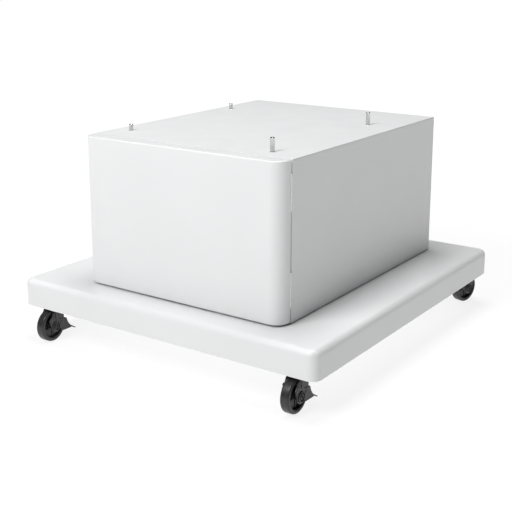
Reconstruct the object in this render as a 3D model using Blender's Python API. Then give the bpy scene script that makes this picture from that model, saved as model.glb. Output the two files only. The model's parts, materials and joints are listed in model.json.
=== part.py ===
"""A low printer cabinet on a wide wheeled base: sheet-metal carcass, hinged door, four swivel casters.

Metres, +Z up. The origin is on the floor, under the middle of the base. The door faces -Y and is
hinged on the +X side. Every object is one physical piece.
"""

import math

import bmesh
import bpy
from mathutils import Matrix, Vector

# ---------------------------------------------------------------- driving dimensions
GAP = 0.0003  # seam left between pieces that touch
RUNNING = 0.00008  # radial clearance of a pin that turns in a bore

BASE_WIDTH = 0.660
BASE_DEPTH = 0.700
BASE_HEIGHT = 0.051
BASE_WHEEL_CLEARANCE = 0.007  # lower edge of the base above the tops of the wheels
BASE_CORNER_RADIUS = 0.018
BASE_EDGE_RADIUS = 0.012
BASE_WALL = 0.0025

CABINET_WIDTH = 0.438
CABINET_DEPTH = 0.5365  # carcass only, without the door
CABINET_HEIGHT = 0.281
CABINET_SHIFT = 0.010  # the carcass sits this far to the right of the base's middle
CABINET_FRONT = -0.265  # front edge of the carcass
SHADOW_GAP = 0.002  # dark joint between the base and the cabinet
SHEET = 0.0012
FRONT_RETURN = 0.018
REAR_RETURN = 0.014
TOP_FLANGE = 0.020
TOP_LAP = 0.0006  # how far a flange runs up into the sheet it is bent from
TOP_FRONT_INSET = 0.0003  # front flange behind the sheet's front edge
FLOOR_FLANGE = 0.016
PLINTH_WIDTH = 0.030
PLINTH_INSET = 0.020

DOOR_THICKNESS = 0.0284
DOOR_GAP = 0.0036  # between the door and the carcass, where the hinges lie
DOOR_SIDE_RADIUS = 0.026
DOOR_EDGE_RADIUS = 0.003
DOOR_WALL = 0.0018
DOOR_FLOOR_CLEARANCE = 0.003  # above the base
LINER_CLEARANCE = 0.0006  # round the liner, inside the door's wall

HINGE_HEIGHT = 0.0625
HINGE_FROM_TOP = 0.0245  # top of the upper hinge below the top of the cabinet
HINGE_FROM_BOTTOM = 0.0265  # bottom of the lower hinge above the bottom of the door
HINGE_INSET = 0.0006  # hinge axis inside the cabinet's side
BARREL_RADIUS = 0.0015
HINGE_PIN_RADIUS = 0.00078
LEAF_THICKNESS = 0.0009
LEAF_WIDTH = 0.014
KNUCKLES = 5
HINGE_PIN_HEAD = 0.001
HINGE_PIN_HEAD_INSET = 0.0001  # head radius short of the barrel

CATCH_SIZE = Vector((0.012, 0.022, 0.045))
CATCH_FROM_TOP = 0.060
STRIKE_SIZE = Vector((0.014, 0.0012, 0.040))
BUMPER_RADIUS = 0.005
BUMPER_NOSE_RADIUS = 0.0035
BUMPER_HEIGHT = 0.0026
BUMPER_FROM_END = 0.035

PIN_RADIUS = 0.004
PIN_COLLAR_RADIUS = 0.008
PIN_COLLAR = 0.003
PIN_CHAMFER = 0.0007
TALL_PIN = 0.0245
SHORT_PIN = 0.0120
# name: distance from the right or left side of the cabinet, from its front edge, height
LOCATING_PINS = {
    "locating_pin_front_right": (1, 0.064, 0.037, TALL_PIN),
    "locating_pin_rear_right": (1, 0.064, 0.3715, TALL_PIN),
    "locating_pin_front_left": (-1, 0.0375, 0.0614, SHORT_PIN),
    "locating_pin_rear_left": (-1, 0.0325, 0.387, SHORT_PIN),
}

RAIL_WIDTH = 0.056
RAIL_SHEET = 0.002
RAIL_END_CLEARANCE = 0.0105  # clears the rounded edge inside the base
CROSSBAR_WIDTH = 0.040
CROSSBAR_HEIGHT = 0.025
CROSSBAR_PLACES = {"base_crossbar_front": -0.185, "base_crossbar_rear": 0.195}

WHEEL_RADIUS = 0.031
WHEEL_WIDTH = 0.017
TYRE_DEPTH = 0.006
TYRE_EDGE = 0.003
RIM_DEPTH = 0.005
RIM_WIDTH = 0.0154
WEB_THICKNESS = 0.006
HUB_RADIUS = 0.007
AXLE_RADIUS = 0.004
AXLE_HEAD_RADIUS = 0.0062
AXLE_HEAD = 0.002
CASTER_TRAIL = 0.022  # swivel axis to wheel axle, seen from above
CASTER_SIDE_INSET = 0.051  # swivel axis to the base's side
CASTER_FRONT_INSET = 0.039
CASTER_REAR_INSET = 0.035
PEDAL_ARM = 0.0018
ARM_CLEARANCE = 0.0005
LEG_THICKNESS = 0.0028
LEG_CLEARANCE = 0.0004
FOOT_RADIUS = 0.0125
FORK_FRONT = 0.0005  # top of the fork ahead of and behind the axle
FORK_BACK = 0.023
FORK_BACK_EDGE = 0.006  # lower end of the fork's straight rear edge above the axle
LEG_NECK = (0.009, 0.020)  # the leg's front edge: ahead of the axle, above it
LEG_KNEE = (0.016, 0.0135)
LEG_SHIN = (0.0155, 0.0095)
FOOT_START = 175  # the foot's arc, in degrees
FOOT_END = 325
EAR_BACK = 0.005  # the pivot's ear behind and below the pivot
EAR_DROP = 0.004
CROWN_CLEARANCE = 0.0012
CROWN_THICKNESS = 0.0025
CROWN_RADIUS = 0.018
RACE_GAP = 0.0003
RACE_HEIGHT = 0.003
RACE_RADIUS = 0.0175
PLATE_SIZE = 0.052
PLATE_THICKNESS = 0.0025
KINGPIN_RADIUS = 0.004
KINGPIN_HEAD_RADIUS = 0.005
KINGPIN_HEAD = 0.0012
PIVOT_BACK = 0.0155  # brake pivot behind the axle
PIVOT_RISE = 0.0025  # and above it
PIVOT_RADIUS = 0.0025
PEDAL_THICKNESS = 0.002
PEDAL_REACH = 0.057  # pedal tip behind the axle
PEDAL_TIP_HEIGHT = 0.0105
PEDAL_ROOT_CLEARANCE = 0.0022  # pedal tread clear of the tyre
PEDAL_ROOT_RISE = 0.006  # top of the tread above the axle
PEDAL_BEND = (0.005, 0.007)  # the tread's bend: behind its root, above its tip
PEDAL_STEPS = 8
ARM_REACH = 0.0035  # round the pivot
ARM_HEEL = 0.008  # arm's lower edge behind the shoe and above the tip
ARM_HEEL_RISE = 0.003
ARM_BELLY = 0.001  # arm's lower edge behind the pivot and above the tip
ARM_BELLY_RISE = 0.004
SHOE_CLEARANCE = 0.0009  # brake released
SHOE_THICKNESS = 0.003
SHOE_TOP = 0.0055  # below the axle
SHOE_HEIGHT = 0.0075

# name: side of the base, end of the base, heading in degrees, has a brake pedal
CASTERS = {
    "front_left": (-1, -1, 3.0, True),
    "front_right": (1, -1, 0.5, True),
    "rear_left": (-1, 1, 189.0, False),
    "rear_right": (1, 1, 165.0, False),
}

# ---------------------------------------------------------------- worked-out places
BASE_BOTTOM = 2 * WHEEL_RADIUS + BASE_WHEEL_CLEARANCE
BASE_TOP = BASE_BOTTOM + BASE_HEIGHT
CAB_LEFT = CABINET_SHIFT - CABINET_WIDTH / 2
CAB_RIGHT = CABINET_SHIFT + CABINET_WIDTH / 2
CAB_BACK = CABINET_FRONT + CABINET_DEPTH
CAB_BOTTOM = BASE_TOP + SHADOW_GAP
CAB_TOP = CAB_BOTTOM + CABINET_HEIGHT
DOOR_BACK = CABINET_FRONT - DOOR_GAP
DOOR_FRONT = DOOR_BACK - DOOR_THICKNESS
DOOR_BOTTOM = BASE_TOP + DOOR_FLOOR_CLEARANCE
HINGE_X = CAB_RIGHT - HINGE_INSET
HINGE_Y = CABINET_FRONT - DOOR_GAP / 2
TRAY_CEILING = BASE_TOP - BASE_WALL
CROWN_BOTTOM = 2 * WHEEL_RADIUS + CROWN_CLEARANCE
CROWN_TOP = CROWN_BOTTOM + CROWN_THICKNESS
PLATE_BOTTOM = CROWN_TOP + RACE_GAP + RACE_HEIGHT
PLATE_TOP = PLATE_BOTTOM + PLATE_THICKNESS
RAIL_BOTTOM = PLATE_TOP + GAP
CASTER_X = BASE_WIDTH / 2 - CASTER_SIDE_INSET
ARM_INNER = WHEEL_WIDTH / 2 + ARM_CLEARANCE
LEG_INNER = ARM_INNER + PEDAL_ARM + LEG_CLEARANCE
LEG_OUTER = LEG_INNER + LEG_THICKNESS


# ---------------------------------------------------------------- finishes
def finish(name, colour, roughness, metallic=0.0):
    """A Principled material of one colour."""
    material = bpy.data.materials.new(name)
    material.use_nodes = True
    shader = material.node_tree.nodes["Principled BSDF"]
    shader.inputs["Base Color"].default_value = (*colour, 1.0)
    shader.inputs["Roughness"].default_value = roughness
    shader.inputs["Metallic"].default_value = metallic
    return material


def make_finishes():
    return {
        "white_enamel": finish("white_enamel", (0.84, 0.84, 0.84), 0.45),
        "white_moulding": finish("white_moulding", (0.86, 0.86, 0.86), 0.40),
        "galvanised": finish("galvanised", (0.60, 0.61, 0.62), 0.40, 1.0),
        "bright_steel": finish("bright_steel", (0.66, 0.66, 0.66), 0.25, 1.0),
        "black_steel": finish("black_steel", (0.05, 0.05, 0.05), 0.45, 0.6),
        "grey_nylon": finish("grey_nylon", (0.06, 0.06, 0.06), 0.50),
        "black_nylon": finish("black_nylon", (0.02, 0.02, 0.02), 0.45),
        "black_rubber": finish("black_rubber", (0.03, 0.03, 0.03), 0.55),
    }


# ---------------------------------------------------------------- modelling helpers
def clear_scene():
    for item in list(bpy.data.objects):
        bpy.data.objects.remove(item)


def add_object(name, work, parent=None):
    """Turns a bmesh into an object with its faces pointing out."""
    bmesh.ops.recalc_face_normals(work, faces=work.faces)
    mesh = bpy.data.meshes.new(name)
    work.to_mesh(mesh)
    work.free()
    item = bpy.data.objects.new(name, mesh)
    item.parent = parent
    bpy.context.scene.collection.objects.link(item)
    return item


def make_box(name, low, high, parent=None):
    """A box from its lowest to its highest corner."""
    low, high = Vector(low), Vector(high)
    work = bmesh.new()
    bmesh.ops.create_cube(work, size=1.0)
    bmesh.ops.scale(work, vec=high - low, verts=work.verts)
    bmesh.ops.translate(work, vec=(low + high) / 2, verts=work.verts)
    return add_object(name, work, parent)


def make_prism(name, outline, start, end, axis="Z", parent=None):
    """An outline extruded along an axis: (x, y) points along Z, (y, z) along X, (x, z) along Y."""
    place = {
        "Z": lambda u, v, w: (u, v, w),
        "X": lambda u, v, w: (w, u, v),
        "Y": lambda u, v, w: (u, w, v),
    }[axis]
    work = bmesh.new()
    corners = [work.verts.new(place(u, v, start)) for u, v in outline]
    face = work.faces.new(corners)
    grown = bmesh.ops.extrude_face_region(work, geom=[face])["geom"]
    moved = [piece for piece in grown if isinstance(piece, bmesh.types.BMVert)]
    bmesh.ops.translate(work, vec=place(0, 0, end - start), verts=moved)
    return add_object(name, work, parent)


def make_turned(name, profile, steps, parent=None, axis="Z", centre=(0, 0, 0)):
    """A profile of (radius, height) points turned about Z, then laid along its axis."""
    work = bmesh.new()
    points = [work.verts.new((radius, 0, height)) for radius, height in profile]
    ends_on_axis = profile[0][0] == 0 and profile[-1][0] == 0
    closing = points[1:] if ends_on_axis else points[1:] + points[:1]
    edges = [work.edges.new(pair) for pair in zip(points, closing)]
    bmesh.ops.spin(
        work,
        geom=points + edges,
        cent=(0, 0, 0),
        axis=(0, 0, 1),
        angle=math.tau,
        steps=steps,
        use_duplicate=False,
    )
    bmesh.ops.remove_doubles(work, verts=work.verts, dist=1e-6)
    if axis == "X":
        bmesh.ops.rotate(
            work,
            cent=(0, 0, 0),
            matrix=Matrix.Rotation(math.radians(90), 3, "Y"),
            verts=work.verts,
        )
    bmesh.ops.translate(work, vec=centre, verts=work.verts)
    item = add_object(name, work, parent)
    item.data.shade_smooth()
    item.data.set_sharp_from_angle(angle=math.radians(35))
    return item


def combine(target, tools, operation):
    """Joins tools to a piece, or cuts them from it. The tools stay as hidden wire shapes."""
    for tool in tools:
        modifier = target.modifiers.new(operation.lower(), "BOOLEAN")
        modifier.operation = operation
        modifier.solver = "EXACT"
        modifier.object = tool
        tool.hide_render = True
        tool.display_type = "WIRE"
    return target


def dress(item, material):
    item.data.materials.clear()
    item.data.materials.append(material)
    return item


def arc(centre, radius, start, end, steps):
    """Points round an arc, in degrees."""
    turns = [math.radians(start + (end - start) * step / steps) for step in range(steps + 1)]
    return [(centre[0] + radius * math.cos(t), centre[1] + radius * math.sin(t)) for t in turns]


def bore(name, radius, centre, length, axis="Z", parent=None, steps=24):
    """A round cutter whose middle is at centre."""
    half = length / 2
    profile = [(0, half), (radius, half), (radius, -half), (0, -half)]
    return make_turned(name, profile, steps, parent, axis, centre)


# ---------------------------------------------------------------- base
def make_tray(finishes):
    """The base cover: a tray turned upside down, rounded on its top and corner edges."""
    work = bmesh.new()
    bmesh.ops.create_cube(work, size=1.0)
    bmesh.ops.scale(work, vec=(BASE_WIDTH, BASE_DEPTH, BASE_HEIGHT), verts=work.verts)
    bmesh.ops.translate(work, vec=(0, 0, BASE_BOTTOM + BASE_HEIGHT / 2), verts=work.verts)
    floor = [face for face in work.faces if face.normal.z < -0.5]
    bmesh.ops.delete(work, geom=floor, context="FACES_ONLY")
    upright = [edge for edge in work.edges if abs(edge.verts[0].co.z - edge.verts[1].co.z) > GAP]
    bmesh.ops.bevel(
        work, geom=upright, offset=BASE_CORNER_RADIUS, segments=6, profile=0.5, affect="EDGES"
    )
    top = BASE_TOP - GAP
    rim = [
        edge
        for edge in work.edges
        if all(vertex.co.z > top for vertex in edge.verts)
        and any(abs(face.normal.z) < 0.5 for face in edge.link_faces)
    ]
    bmesh.ops.bevel(
        work, geom=rim, offset=BASE_EDGE_RADIUS, segments=5, profile=0.5, affect="EDGES"
    )
    tray = add_object("base_tray", work)
    tray.data.shade_smooth()
    tray.data.set_sharp_from_angle(angle=math.radians(35))
    wall = tray.modifiers.new("wall", "SOLIDIFY")
    wall.thickness = BASE_WALL
    wall.offset = -1.0
    wall.use_even_offset = True
    return dress(tray, finishes["white_moulding"])


def make_rails(finishes):
    """Two steel channels along the base's sides, which carry the casters."""
    top = TRAY_CEILING - GAP
    reach = BASE_DEPTH / 2 - RAIL_END_CLEARANCE
    for side, word in ((-1, "left"), (1, "right")):
        middle = side * CASTER_X
        low, high = middle - RAIL_WIDTH / 2, middle + RAIL_WIDTH / 2
        outline = [
            (low, top),
            (low, RAIL_BOTTOM),
            (high, RAIL_BOTTOM),
            (high, top),
            (high - RAIL_SHEET, top),
            (high - RAIL_SHEET, RAIL_BOTTOM + RAIL_SHEET),
            (low + RAIL_SHEET, RAIL_BOTTOM + RAIL_SHEET),
            (low + RAIL_SHEET, top),
        ]
        rail = make_prism(f"base_rail_{word}", outline, -reach, reach, "Y")
        dress(rail, finishes["galvanised"])


def make_crossbars(finishes):
    """Steel channels between the rails, under the cabinet."""
    top = TRAY_CEILING - GAP
    reach = CASTER_X - RAIL_WIDTH / 2 - GAP
    half = CROSSBAR_WIDTH / 2
    for name, middle in CROSSBAR_PLACES.items():
        outline = [
            (middle - half, top - CROSSBAR_HEIGHT),
            (middle - half, top),
            (middle + half, top),
            (middle + half, top - CROSSBAR_HEIGHT),
            (middle + half - RAIL_SHEET, top - CROSSBAR_HEIGHT),
            (middle + half - RAIL_SHEET, top - RAIL_SHEET),
            (middle - half + RAIL_SHEET, top - RAIL_SHEET),
            (middle - half + RAIL_SHEET, top - CROSSBAR_HEIGHT),
        ]
        dress(make_prism(name, outline, -reach, reach, "X"), finishes["galvanised"])


# ---------------------------------------------------------------- cabinet
def make_sides(finishes):
    """Left and right side sheets, each turned in at the front and at the back."""
    top = CAB_TOP - SHEET - GAP
    back = CAB_BACK - SHEET - GAP
    for word, outer, inward in (("left", CAB_LEFT, 1), ("right", CAB_RIGHT, -1)):
        inner = outer + inward * SHEET
        outline = [
            (outer, CABINET_FRONT),
            (outer + inward * FRONT_RETURN, CABINET_FRONT),
            (outer + inward * FRONT_RETURN, CABINET_FRONT + SHEET),
            (inner, CABINET_FRONT + SHEET),
            (inner, back - SHEET),
            (outer + inward * REAR_RETURN, back - SHEET),
            (outer + inward * REAR_RETURN, back),
            (outer, back),
        ]
        side = make_prism(f"cabinet_side_{word}", outline, CAB_BOTTOM, top, "Z")
        dress(side, finishes["white_enamel"])


def make_top(finishes, pin_places):
    """The top sheet, with flanges turned down inside the sides and holes for the locating pins."""
    plate = make_box(
        "cabinet_top",
        (CAB_LEFT, CABINET_FRONT, CAB_TOP - SHEET),
        (CAB_RIGHT, CAB_BACK, CAB_TOP),
    )
    low, high = CAB_TOP - TOP_FLANGE, CAB_TOP - TOP_LAP
    inside = SHEET + GAP
    front, back = CABINET_FRONT + inside, CAB_BACK - 2 * inside
    flanges = [
        ((CAB_LEFT + inside, front), (CAB_LEFT + inside + SHEET, back)),
        ((CAB_RIGHT - inside - SHEET, front), (CAB_RIGHT - inside, back)),
    ]
    clear = FRONT_RETURN + GAP
    flanges.append(
        (
            (CAB_LEFT + clear, CABINET_FRONT + TOP_FRONT_INSET),
            (CAB_RIGHT - clear, CABINET_FRONT + TOP_FRONT_INSET + SHEET),
        )
    )
    tools = [
        make_box(f"top_flange_{number}", (*start, low), (*end, high))
        for number, (start, end) in enumerate(flanges)
    ]
    combine(plate, tools, "UNION")
    holes = [
        bore(f"pin_hole_{number}", PIN_RADIUS + RUNNING * 2, (x, y, CAB_TOP), 4 * SHEET)
        for number, (x, y) in enumerate(pin_places)
    ]
    combine(plate, holes, "DIFFERENCE")
    dress(plate, finishes["white_enamel"])


def make_back(finishes):
    """The flat back sheet, over the sides' rear returns."""
    top = CAB_TOP - SHEET - GAP
    outline = [
        (CAB_BACK, CAB_BOTTOM),
        (CAB_BACK, top),
        (CAB_BACK - SHEET, top),
        (CAB_BACK - SHEET, CAB_BOTTOM),
    ]
    sheet = make_prism("cabinet_back", outline, CAB_LEFT, CAB_RIGHT, "X")
    dress(sheet, finishes["white_enamel"])


def make_floor(finishes):
    """The floor pan between the sides, with its four edges turned up."""
    inside = SHEET + GAP
    left, right = CAB_LEFT + inside, CAB_RIGHT - inside
    front, back = CABINET_FRONT + inside, CAB_BACK - 2 * inside - GAP
    floor = CAB_BOTTOM + GAP
    pan = make_box("cabinet_floor", (left, front, floor), (right, back, floor + FLOOR_FLANGE))
    hollow = make_box(
        "floor_hollow",
        (left + SHEET, front + SHEET, floor + SHEET),
        (right - SHEET, back - SHEET, floor + 2 * FLOOR_FLANGE),
    )
    dress(combine(pan, [hollow], "DIFFERENCE"), finishes["white_enamel"])


def make_plinth(finishes):
    """Two flat bars that hold the cabinet just above the base and make the dark joint."""
    places = (
        ("left", CAB_LEFT + PLINTH_INSET),
        ("right", CAB_RIGHT - PLINTH_INSET - PLINTH_WIDTH),
    )
    for word, low in places:
        bar = make_box(
            f"plinth_bar_{word}",
            (low, CABINET_FRONT + PLINTH_INSET, BASE_TOP + GAP),
            (low + PLINTH_WIDTH, CAB_BACK - PLINTH_INSET, CAB_BOTTOM),
        )
        dress(bar, finishes["galvanised"])


def make_locating_pins(finishes, places):
    """Steel pins through the top sheet, each with a collar under it and a small chamfer."""
    collar_top = CAB_TOP - SHEET - GAP
    for (name, place), (x, y) in zip(LOCATING_PINS.items(), places):
        tip = CAB_TOP + place[3]
        profile = [
            (0, tip),
            (PIN_RADIUS - PIN_CHAMFER, tip),
            (PIN_RADIUS, tip - PIN_CHAMFER),
            (PIN_RADIUS, collar_top),
            (PIN_COLLAR_RADIUS, collar_top),
            (PIN_COLLAR_RADIUS, collar_top - PIN_COLLAR),
            (0, collar_top - PIN_COLLAR),
        ]
        pin = make_turned(name, profile, 24, centre=(x, y, 0))
        dress(pin, finishes["bright_steel"])


# ---------------------------------------------------------------- door
def make_door_shell(finishes, body):
    """The door's outer skin: deep rounded sides, small rounded top and bottom, open at the back."""
    radius = min(DOOR_SIDE_RADIUS, DOOR_THICKNESS - 2 * SHEET)
    outline = [(CAB_LEFT, DOOR_BACK)]
    outline += arc((CAB_LEFT + radius, DOOR_FRONT + radius), radius, 180, 270, 8)
    outline += arc((CAB_RIGHT - radius, DOOR_FRONT + radius), radius, 270, 360, 8)
    outline += [(CAB_RIGHT, DOOR_BACK)]
    work = bmesh.new()
    base = work.faces.new([work.verts.new((x, y, DOOR_BOTTOM)) for x, y in outline])
    grown = bmesh.ops.extrude_face_region(work, geom=[base])["geom"]
    raised = [piece for piece in grown if isinstance(piece, bmesh.types.BMVert)]
    bmesh.ops.translate(work, vec=(0, 0, CAB_TOP - DOOR_BOTTOM), verts=raised)
    bmesh.ops.recalc_face_normals(work, faces=work.faces)
    rear = [face for face in work.faces if face.normal.y > 0.99]
    bmesh.ops.delete(work, geom=rear, context="FACES_ONLY")
    rims = [
        edge
        for edge in work.edges
        if not edge.is_boundary and abs(edge.verts[0].co.z - edge.verts[1].co.z) < GAP
    ]
    bmesh.ops.bevel(
        work, geom=rims, offset=DOOR_EDGE_RADIUS, segments=3, profile=0.5, affect="EDGES"
    )
    shell = add_object("door_shell", work, body)
    shell.data.transform(body.matrix_world.inverted())
    shell.data.shade_smooth()
    shell.data.set_sharp_from_angle(angle=math.radians(35))
    wall = shell.modifiers.new("wall", "SOLIDIFY")
    wall.thickness = DOOR_WALL
    wall.offset = -1.0
    wall.use_even_offset = True
    dress(shell, finishes["white_moulding"])


def make_door_liner(finishes, body):
    """The flat sheet that closes the door's back, set inside its wall."""
    inset = DOOR_WALL + LINER_CLEARANCE
    shift = body.matrix_world.translation
    low = Vector((CAB_LEFT + inset, DOOR_BACK - SHEET, DOOR_BOTTOM + inset))
    high = Vector((CAB_RIGHT - inset, DOOR_BACK, CAB_TOP - inset))
    liner = make_box("door_liner", low - shift, high - shift, body)
    dress(liner, finishes["white_enamel"])


def make_hinge(word, bottom, finishes, body):
    """A butt hinge in the gap: a leaf on the carcass, a leaf on the door and a pin."""
    pitch = HINGE_HEIGHT / KNUCKLES
    bore_radius = HINGE_PIN_RADIUS + RUNNING
    clear = BARREL_RADIUS + GAP
    shift = body.matrix_world.translation
    leaves = (
        ("carcass", None, 0, CABINET_FRONT - GAP - LEAF_THICKNESS, Vector()),
        ("door", body, 1, DOOR_BACK + GAP, shift),
    )
    for owner, parent, first, low_y, move in leaves:
        name = f"hinge_{word}_{owner}_leaf"
        high_y = low_y + LEAF_THICKNESS
        low = Vector((HINGE_X - LEAF_WIDTH, low_y, bottom))
        high = Vector((HINGE_X - clear, high_y, bottom + HINGE_HEIGHT))
        leaf = make_box(name, low - move, high - move, parent)
        tools = []
        for number in range(first, KNUCKLES, 2):
            start = bottom + number * pitch + GAP / 2
            end = start + pitch - GAP
            tab_low = Vector((HINGE_X - clear - LEAF_THICKNESS, low_y, start))
            tab_high = Vector((HINGE_X, high_y, end))
            tools.append(
                make_box(f"{name}_tab_{number}", tab_low - move, tab_high - move, parent)
            )
            middle = Vector((HINGE_X, HINGE_Y, (start + end) / 2))
            tools.append(
                bore(
                    f"{name}_knuckle_{number}",
                    BARREL_RADIUS,
                    middle - move,
                    end - start,
                    parent=parent,
                    steps=16,
                )
            )
        combine(leaf, tools, "UNION")
        middle = Vector((HINGE_X, HINGE_Y, bottom + HINGE_HEIGHT / 2))
        hole = bore(
            f"{name}_bore", bore_radius, middle - move, 2 * HINGE_HEIGHT, parent=parent, steps=16
        )
        combine(leaf, [hole], "DIFFERENCE")
        dress(leaf, finishes["bright_steel"])
    head_radius = BARREL_RADIUS - HINGE_PIN_HEAD_INSET
    top, foot = bottom + HINGE_HEIGHT + GAP, bottom - GAP
    profile = [
        (0, top + HINGE_PIN_HEAD),
        (head_radius, top + HINGE_PIN_HEAD),
        (head_radius, top),
        (HINGE_PIN_RADIUS, top),
        (HINGE_PIN_RADIUS, foot),
        (head_radius, foot),
        (head_radius, foot - HINGE_PIN_HEAD),
        (0, foot - HINGE_PIN_HEAD),
    ]
    pin = make_turned(f"hinge_{word}_pin", profile, 16, centre=(HINGE_X, HINGE_Y, 0))
    dress(pin, finishes["bright_steel"])


def make_catch(finishes, body):
    """A magnetic catch beside the left return, its strike plate on the door and two bumpers."""
    left = CAB_LEFT + FRONT_RETURN + GAP
    top = CAB_TOP - CATCH_FROM_TOP
    low = Vector((left, CABINET_FRONT, top - CATCH_SIZE.z))
    catch = make_box("magnetic_catch", low, low + CATCH_SIZE)
    dress(catch, finishes["black_nylon"])
    middle = low + Vector((CATCH_SIZE.x / 2, 0, CATCH_SIZE.z / 2))
    strike_low = Vector(
        (middle.x - STRIKE_SIZE.x / 2, DOOR_BACK + GAP, middle.z - STRIKE_SIZE.z / 2)
    )
    shift = body.matrix_world.translation
    strike = make_box("strike_plate", strike_low - shift, strike_low + STRIKE_SIZE - shift, body)
    dress(strike, finishes["bright_steel"])
    places = (("lower", DOOR_BOTTOM + BUMPER_FROM_END), ("upper", CAB_TOP - BUMPER_FROM_END))
    for word, z in places:
        work = bmesh.new()
        bmesh.ops.create_cone(
            work,
            cap_ends=True,
            segments=16,
            radius1=BUMPER_RADIUS,
            radius2=BUMPER_NOSE_RADIUS,
            depth=BUMPER_HEIGHT,
        )
        bmesh.ops.rotate(
            work, cent=(0, 0, 0), matrix=Matrix.Rotation(math.radians(90), 3, "X"), verts=work.verts
        )
        bumper = add_object(f"door_bumper_{word}", work)
        depth = CABINET_FRONT - GAP - BUMPER_HEIGHT / 2
        bumper.location = (CAB_LEFT + FRONT_RETURN / 2, depth, z)
        dress(bumper, finishes["black_rubber"])


def make_door(finishes):
    """The door and what moves with it, under an empty on the hinge axis."""
    body = bpy.data.objects.new("door_axis", None)
    body.location = (HINGE_X, HINGE_Y, 0)
    bpy.context.scene.collection.objects.link(body)
    bpy.context.view_layer.update()
    make_door_shell(finishes, body)
    make_door_liner(finishes, body)
    make_hinge("upper", CAB_TOP - HINGE_FROM_TOP - HINGE_HEIGHT, finishes, body)
    make_hinge("lower", DOOR_BOTTOM + HINGE_FROM_BOTTOM, finishes, body)
    make_catch(finishes, body)


# ---------------------------------------------------------------- casters
def make_mount_plate(name, swivel, finishes):
    """A square plate with the upper bearing race under it and a hole for the kingpin."""
    half = PLATE_SIZE / 2
    plate = make_box(
        f"caster_{name}_plate", (-half, -half, PLATE_BOTTOM), (half, half, PLATE_TOP), swivel
    )
    race = bore(
        f"race_{name}",
        RACE_RADIUS,
        (0, 0, PLATE_BOTTOM - RACE_HEIGHT / 2 + GAP),
        RACE_HEIGHT + 2 * GAP,
        parent=swivel,
    )
    hole = bore(
        f"plate_hole_{name}",
        KINGPIN_RADIUS + GAP,
        (0, 0, PLATE_BOTTOM),
        4 * RACE_HEIGHT,
        parent=swivel,
    )
    combine(plate, [race], "UNION")
    combine(plate, [hole], "DIFFERENCE")
    dress(plate, finishes["black_steel"])


def make_kingpin(name, swivel, finishes):
    """The rivet that the fork turns on."""
    under = CROWN_BOTTOM - GAP
    profile = [
        (0, PLATE_TOP),
        (KINGPIN_RADIUS, PLATE_TOP),
        (KINGPIN_RADIUS, under),
        (KINGPIN_HEAD_RADIUS, under),
        (KINGPIN_HEAD_RADIUS, under - KINGPIN_HEAD),
        (0, under - KINGPIN_HEAD),
    ]
    pin = make_turned(f"caster_{name}_kingpin", profile, 24, swivel)
    dress(pin, finishes["black_steel"])


def leg_outline():
    """One fork leg seen from the side, as (y, z) from the swivel axis on the floor."""
    axle_y = -CASTER_TRAIL
    top = (CROWN_BOTTOM + CROWN_TOP) / 2
    edge = (LEG_NECK, LEG_KNEE, LEG_SHIN)
    front = [(axle_y - ahead, WHEEL_RADIUS + above) for ahead, above in edge]
    foot = arc((axle_y, WHEEL_RADIUS), FOOT_RADIUS, FOOT_START, FOOT_END, 10)
    pivot = (axle_y + PIVOT_BACK, WHEEL_RADIUS + PIVOT_RISE)
    return [
        (axle_y + FORK_BACK, top),
        (axle_y - FORK_FRONT, top),
        *front,
        *foot,
        (pivot[0] + EAR_BACK, pivot[1] - EAR_DROP),
        (axle_y + FORK_BACK, WHEEL_RADIUS + FORK_BACK_EDGE),
    ]


def make_fork(name, swivel, finishes, braked):
    """The swivelling yoke: a crown under the race and two legs down to the axle."""
    crown = make_turned(
        f"caster_{name}_fork",
        [(0, CROWN_TOP), (CROWN_RADIUS, CROWN_TOP), (CROWN_RADIUS, CROWN_BOTTOM), (0, CROWN_BOTTOM)],
        32,
        swivel,
    )
    skin = GAP  # keeps the joined faces off one plane
    bridge = make_box(
        f"bridge_{name}",
        (-LEG_OUTER + skin, -CASTER_TRAIL - FORK_FRONT + skin, CROWN_BOTTOM + skin),
        (LEG_OUTER - skin, -CASTER_TRAIL + FORK_BACK - skin, CROWN_TOP - skin),
        swivel,
    )
    tools = [bridge]
    for side in (-1, 1):
        ends = sorted((side * LEG_INNER, side * LEG_OUTER))
        tools.append(
            make_prism(f"leg_{name}_{side}", leg_outline(), ends[0], ends[1], "X", swivel)
        )
        if braked:
            boss_inner = ARM_INNER + GAP
            tools.append(
                bore(
                    f"pivot_boss_{name}_{side}",
                    PIVOT_RADIUS,
                    (
                        side * (boss_inner + LEG_INNER + SHEET) / 2,
                        PIVOT_BACK - CASTER_TRAIL,
                        WHEEL_RADIUS + PIVOT_RISE,
                    ),
                    LEG_INNER + SHEET - boss_inner,
                    "X",
                    swivel,
                )
            )
    combine(crown, tools, "UNION")
    axle_place = (0, -CASTER_TRAIL, WHEEL_RADIUS)
    holes = [
        bore(f"axle_hole_{name}", AXLE_RADIUS + RUNNING, axle_place, 0.1, "X", swivel),
        bore(f"king_hole_{name}", KINGPIN_RADIUS + RUNNING, (0, 0, CROWN_TOP), 0.01, parent=swivel),
    ]
    combine(crown, holes, "DIFFERENCE")
    dress(crown, finishes["grey_nylon"])


def make_axle(name, swivel, finishes):
    """The axle bolt through both legs, with a round head at each end."""
    seat = LEG_OUTER + GAP
    end = seat + AXLE_HEAD
    round_off = AXLE_HEAD / 3
    profile = [
        (0, end),
        (AXLE_HEAD_RADIUS - round_off, end),
        (AXLE_HEAD_RADIUS, end - round_off),
        (AXLE_HEAD_RADIUS, seat),
        (AXLE_RADIUS, seat),
    ]
    profile += [(radius, -height) for radius, height in reversed(profile)]
    axle = make_turned(
        f"caster_{name}_axle", profile, 24, swivel, "X", (0, -CASTER_TRAIL, WHEEL_RADIUS)
    )
    dress(axle, finishes["black_steel"])


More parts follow.
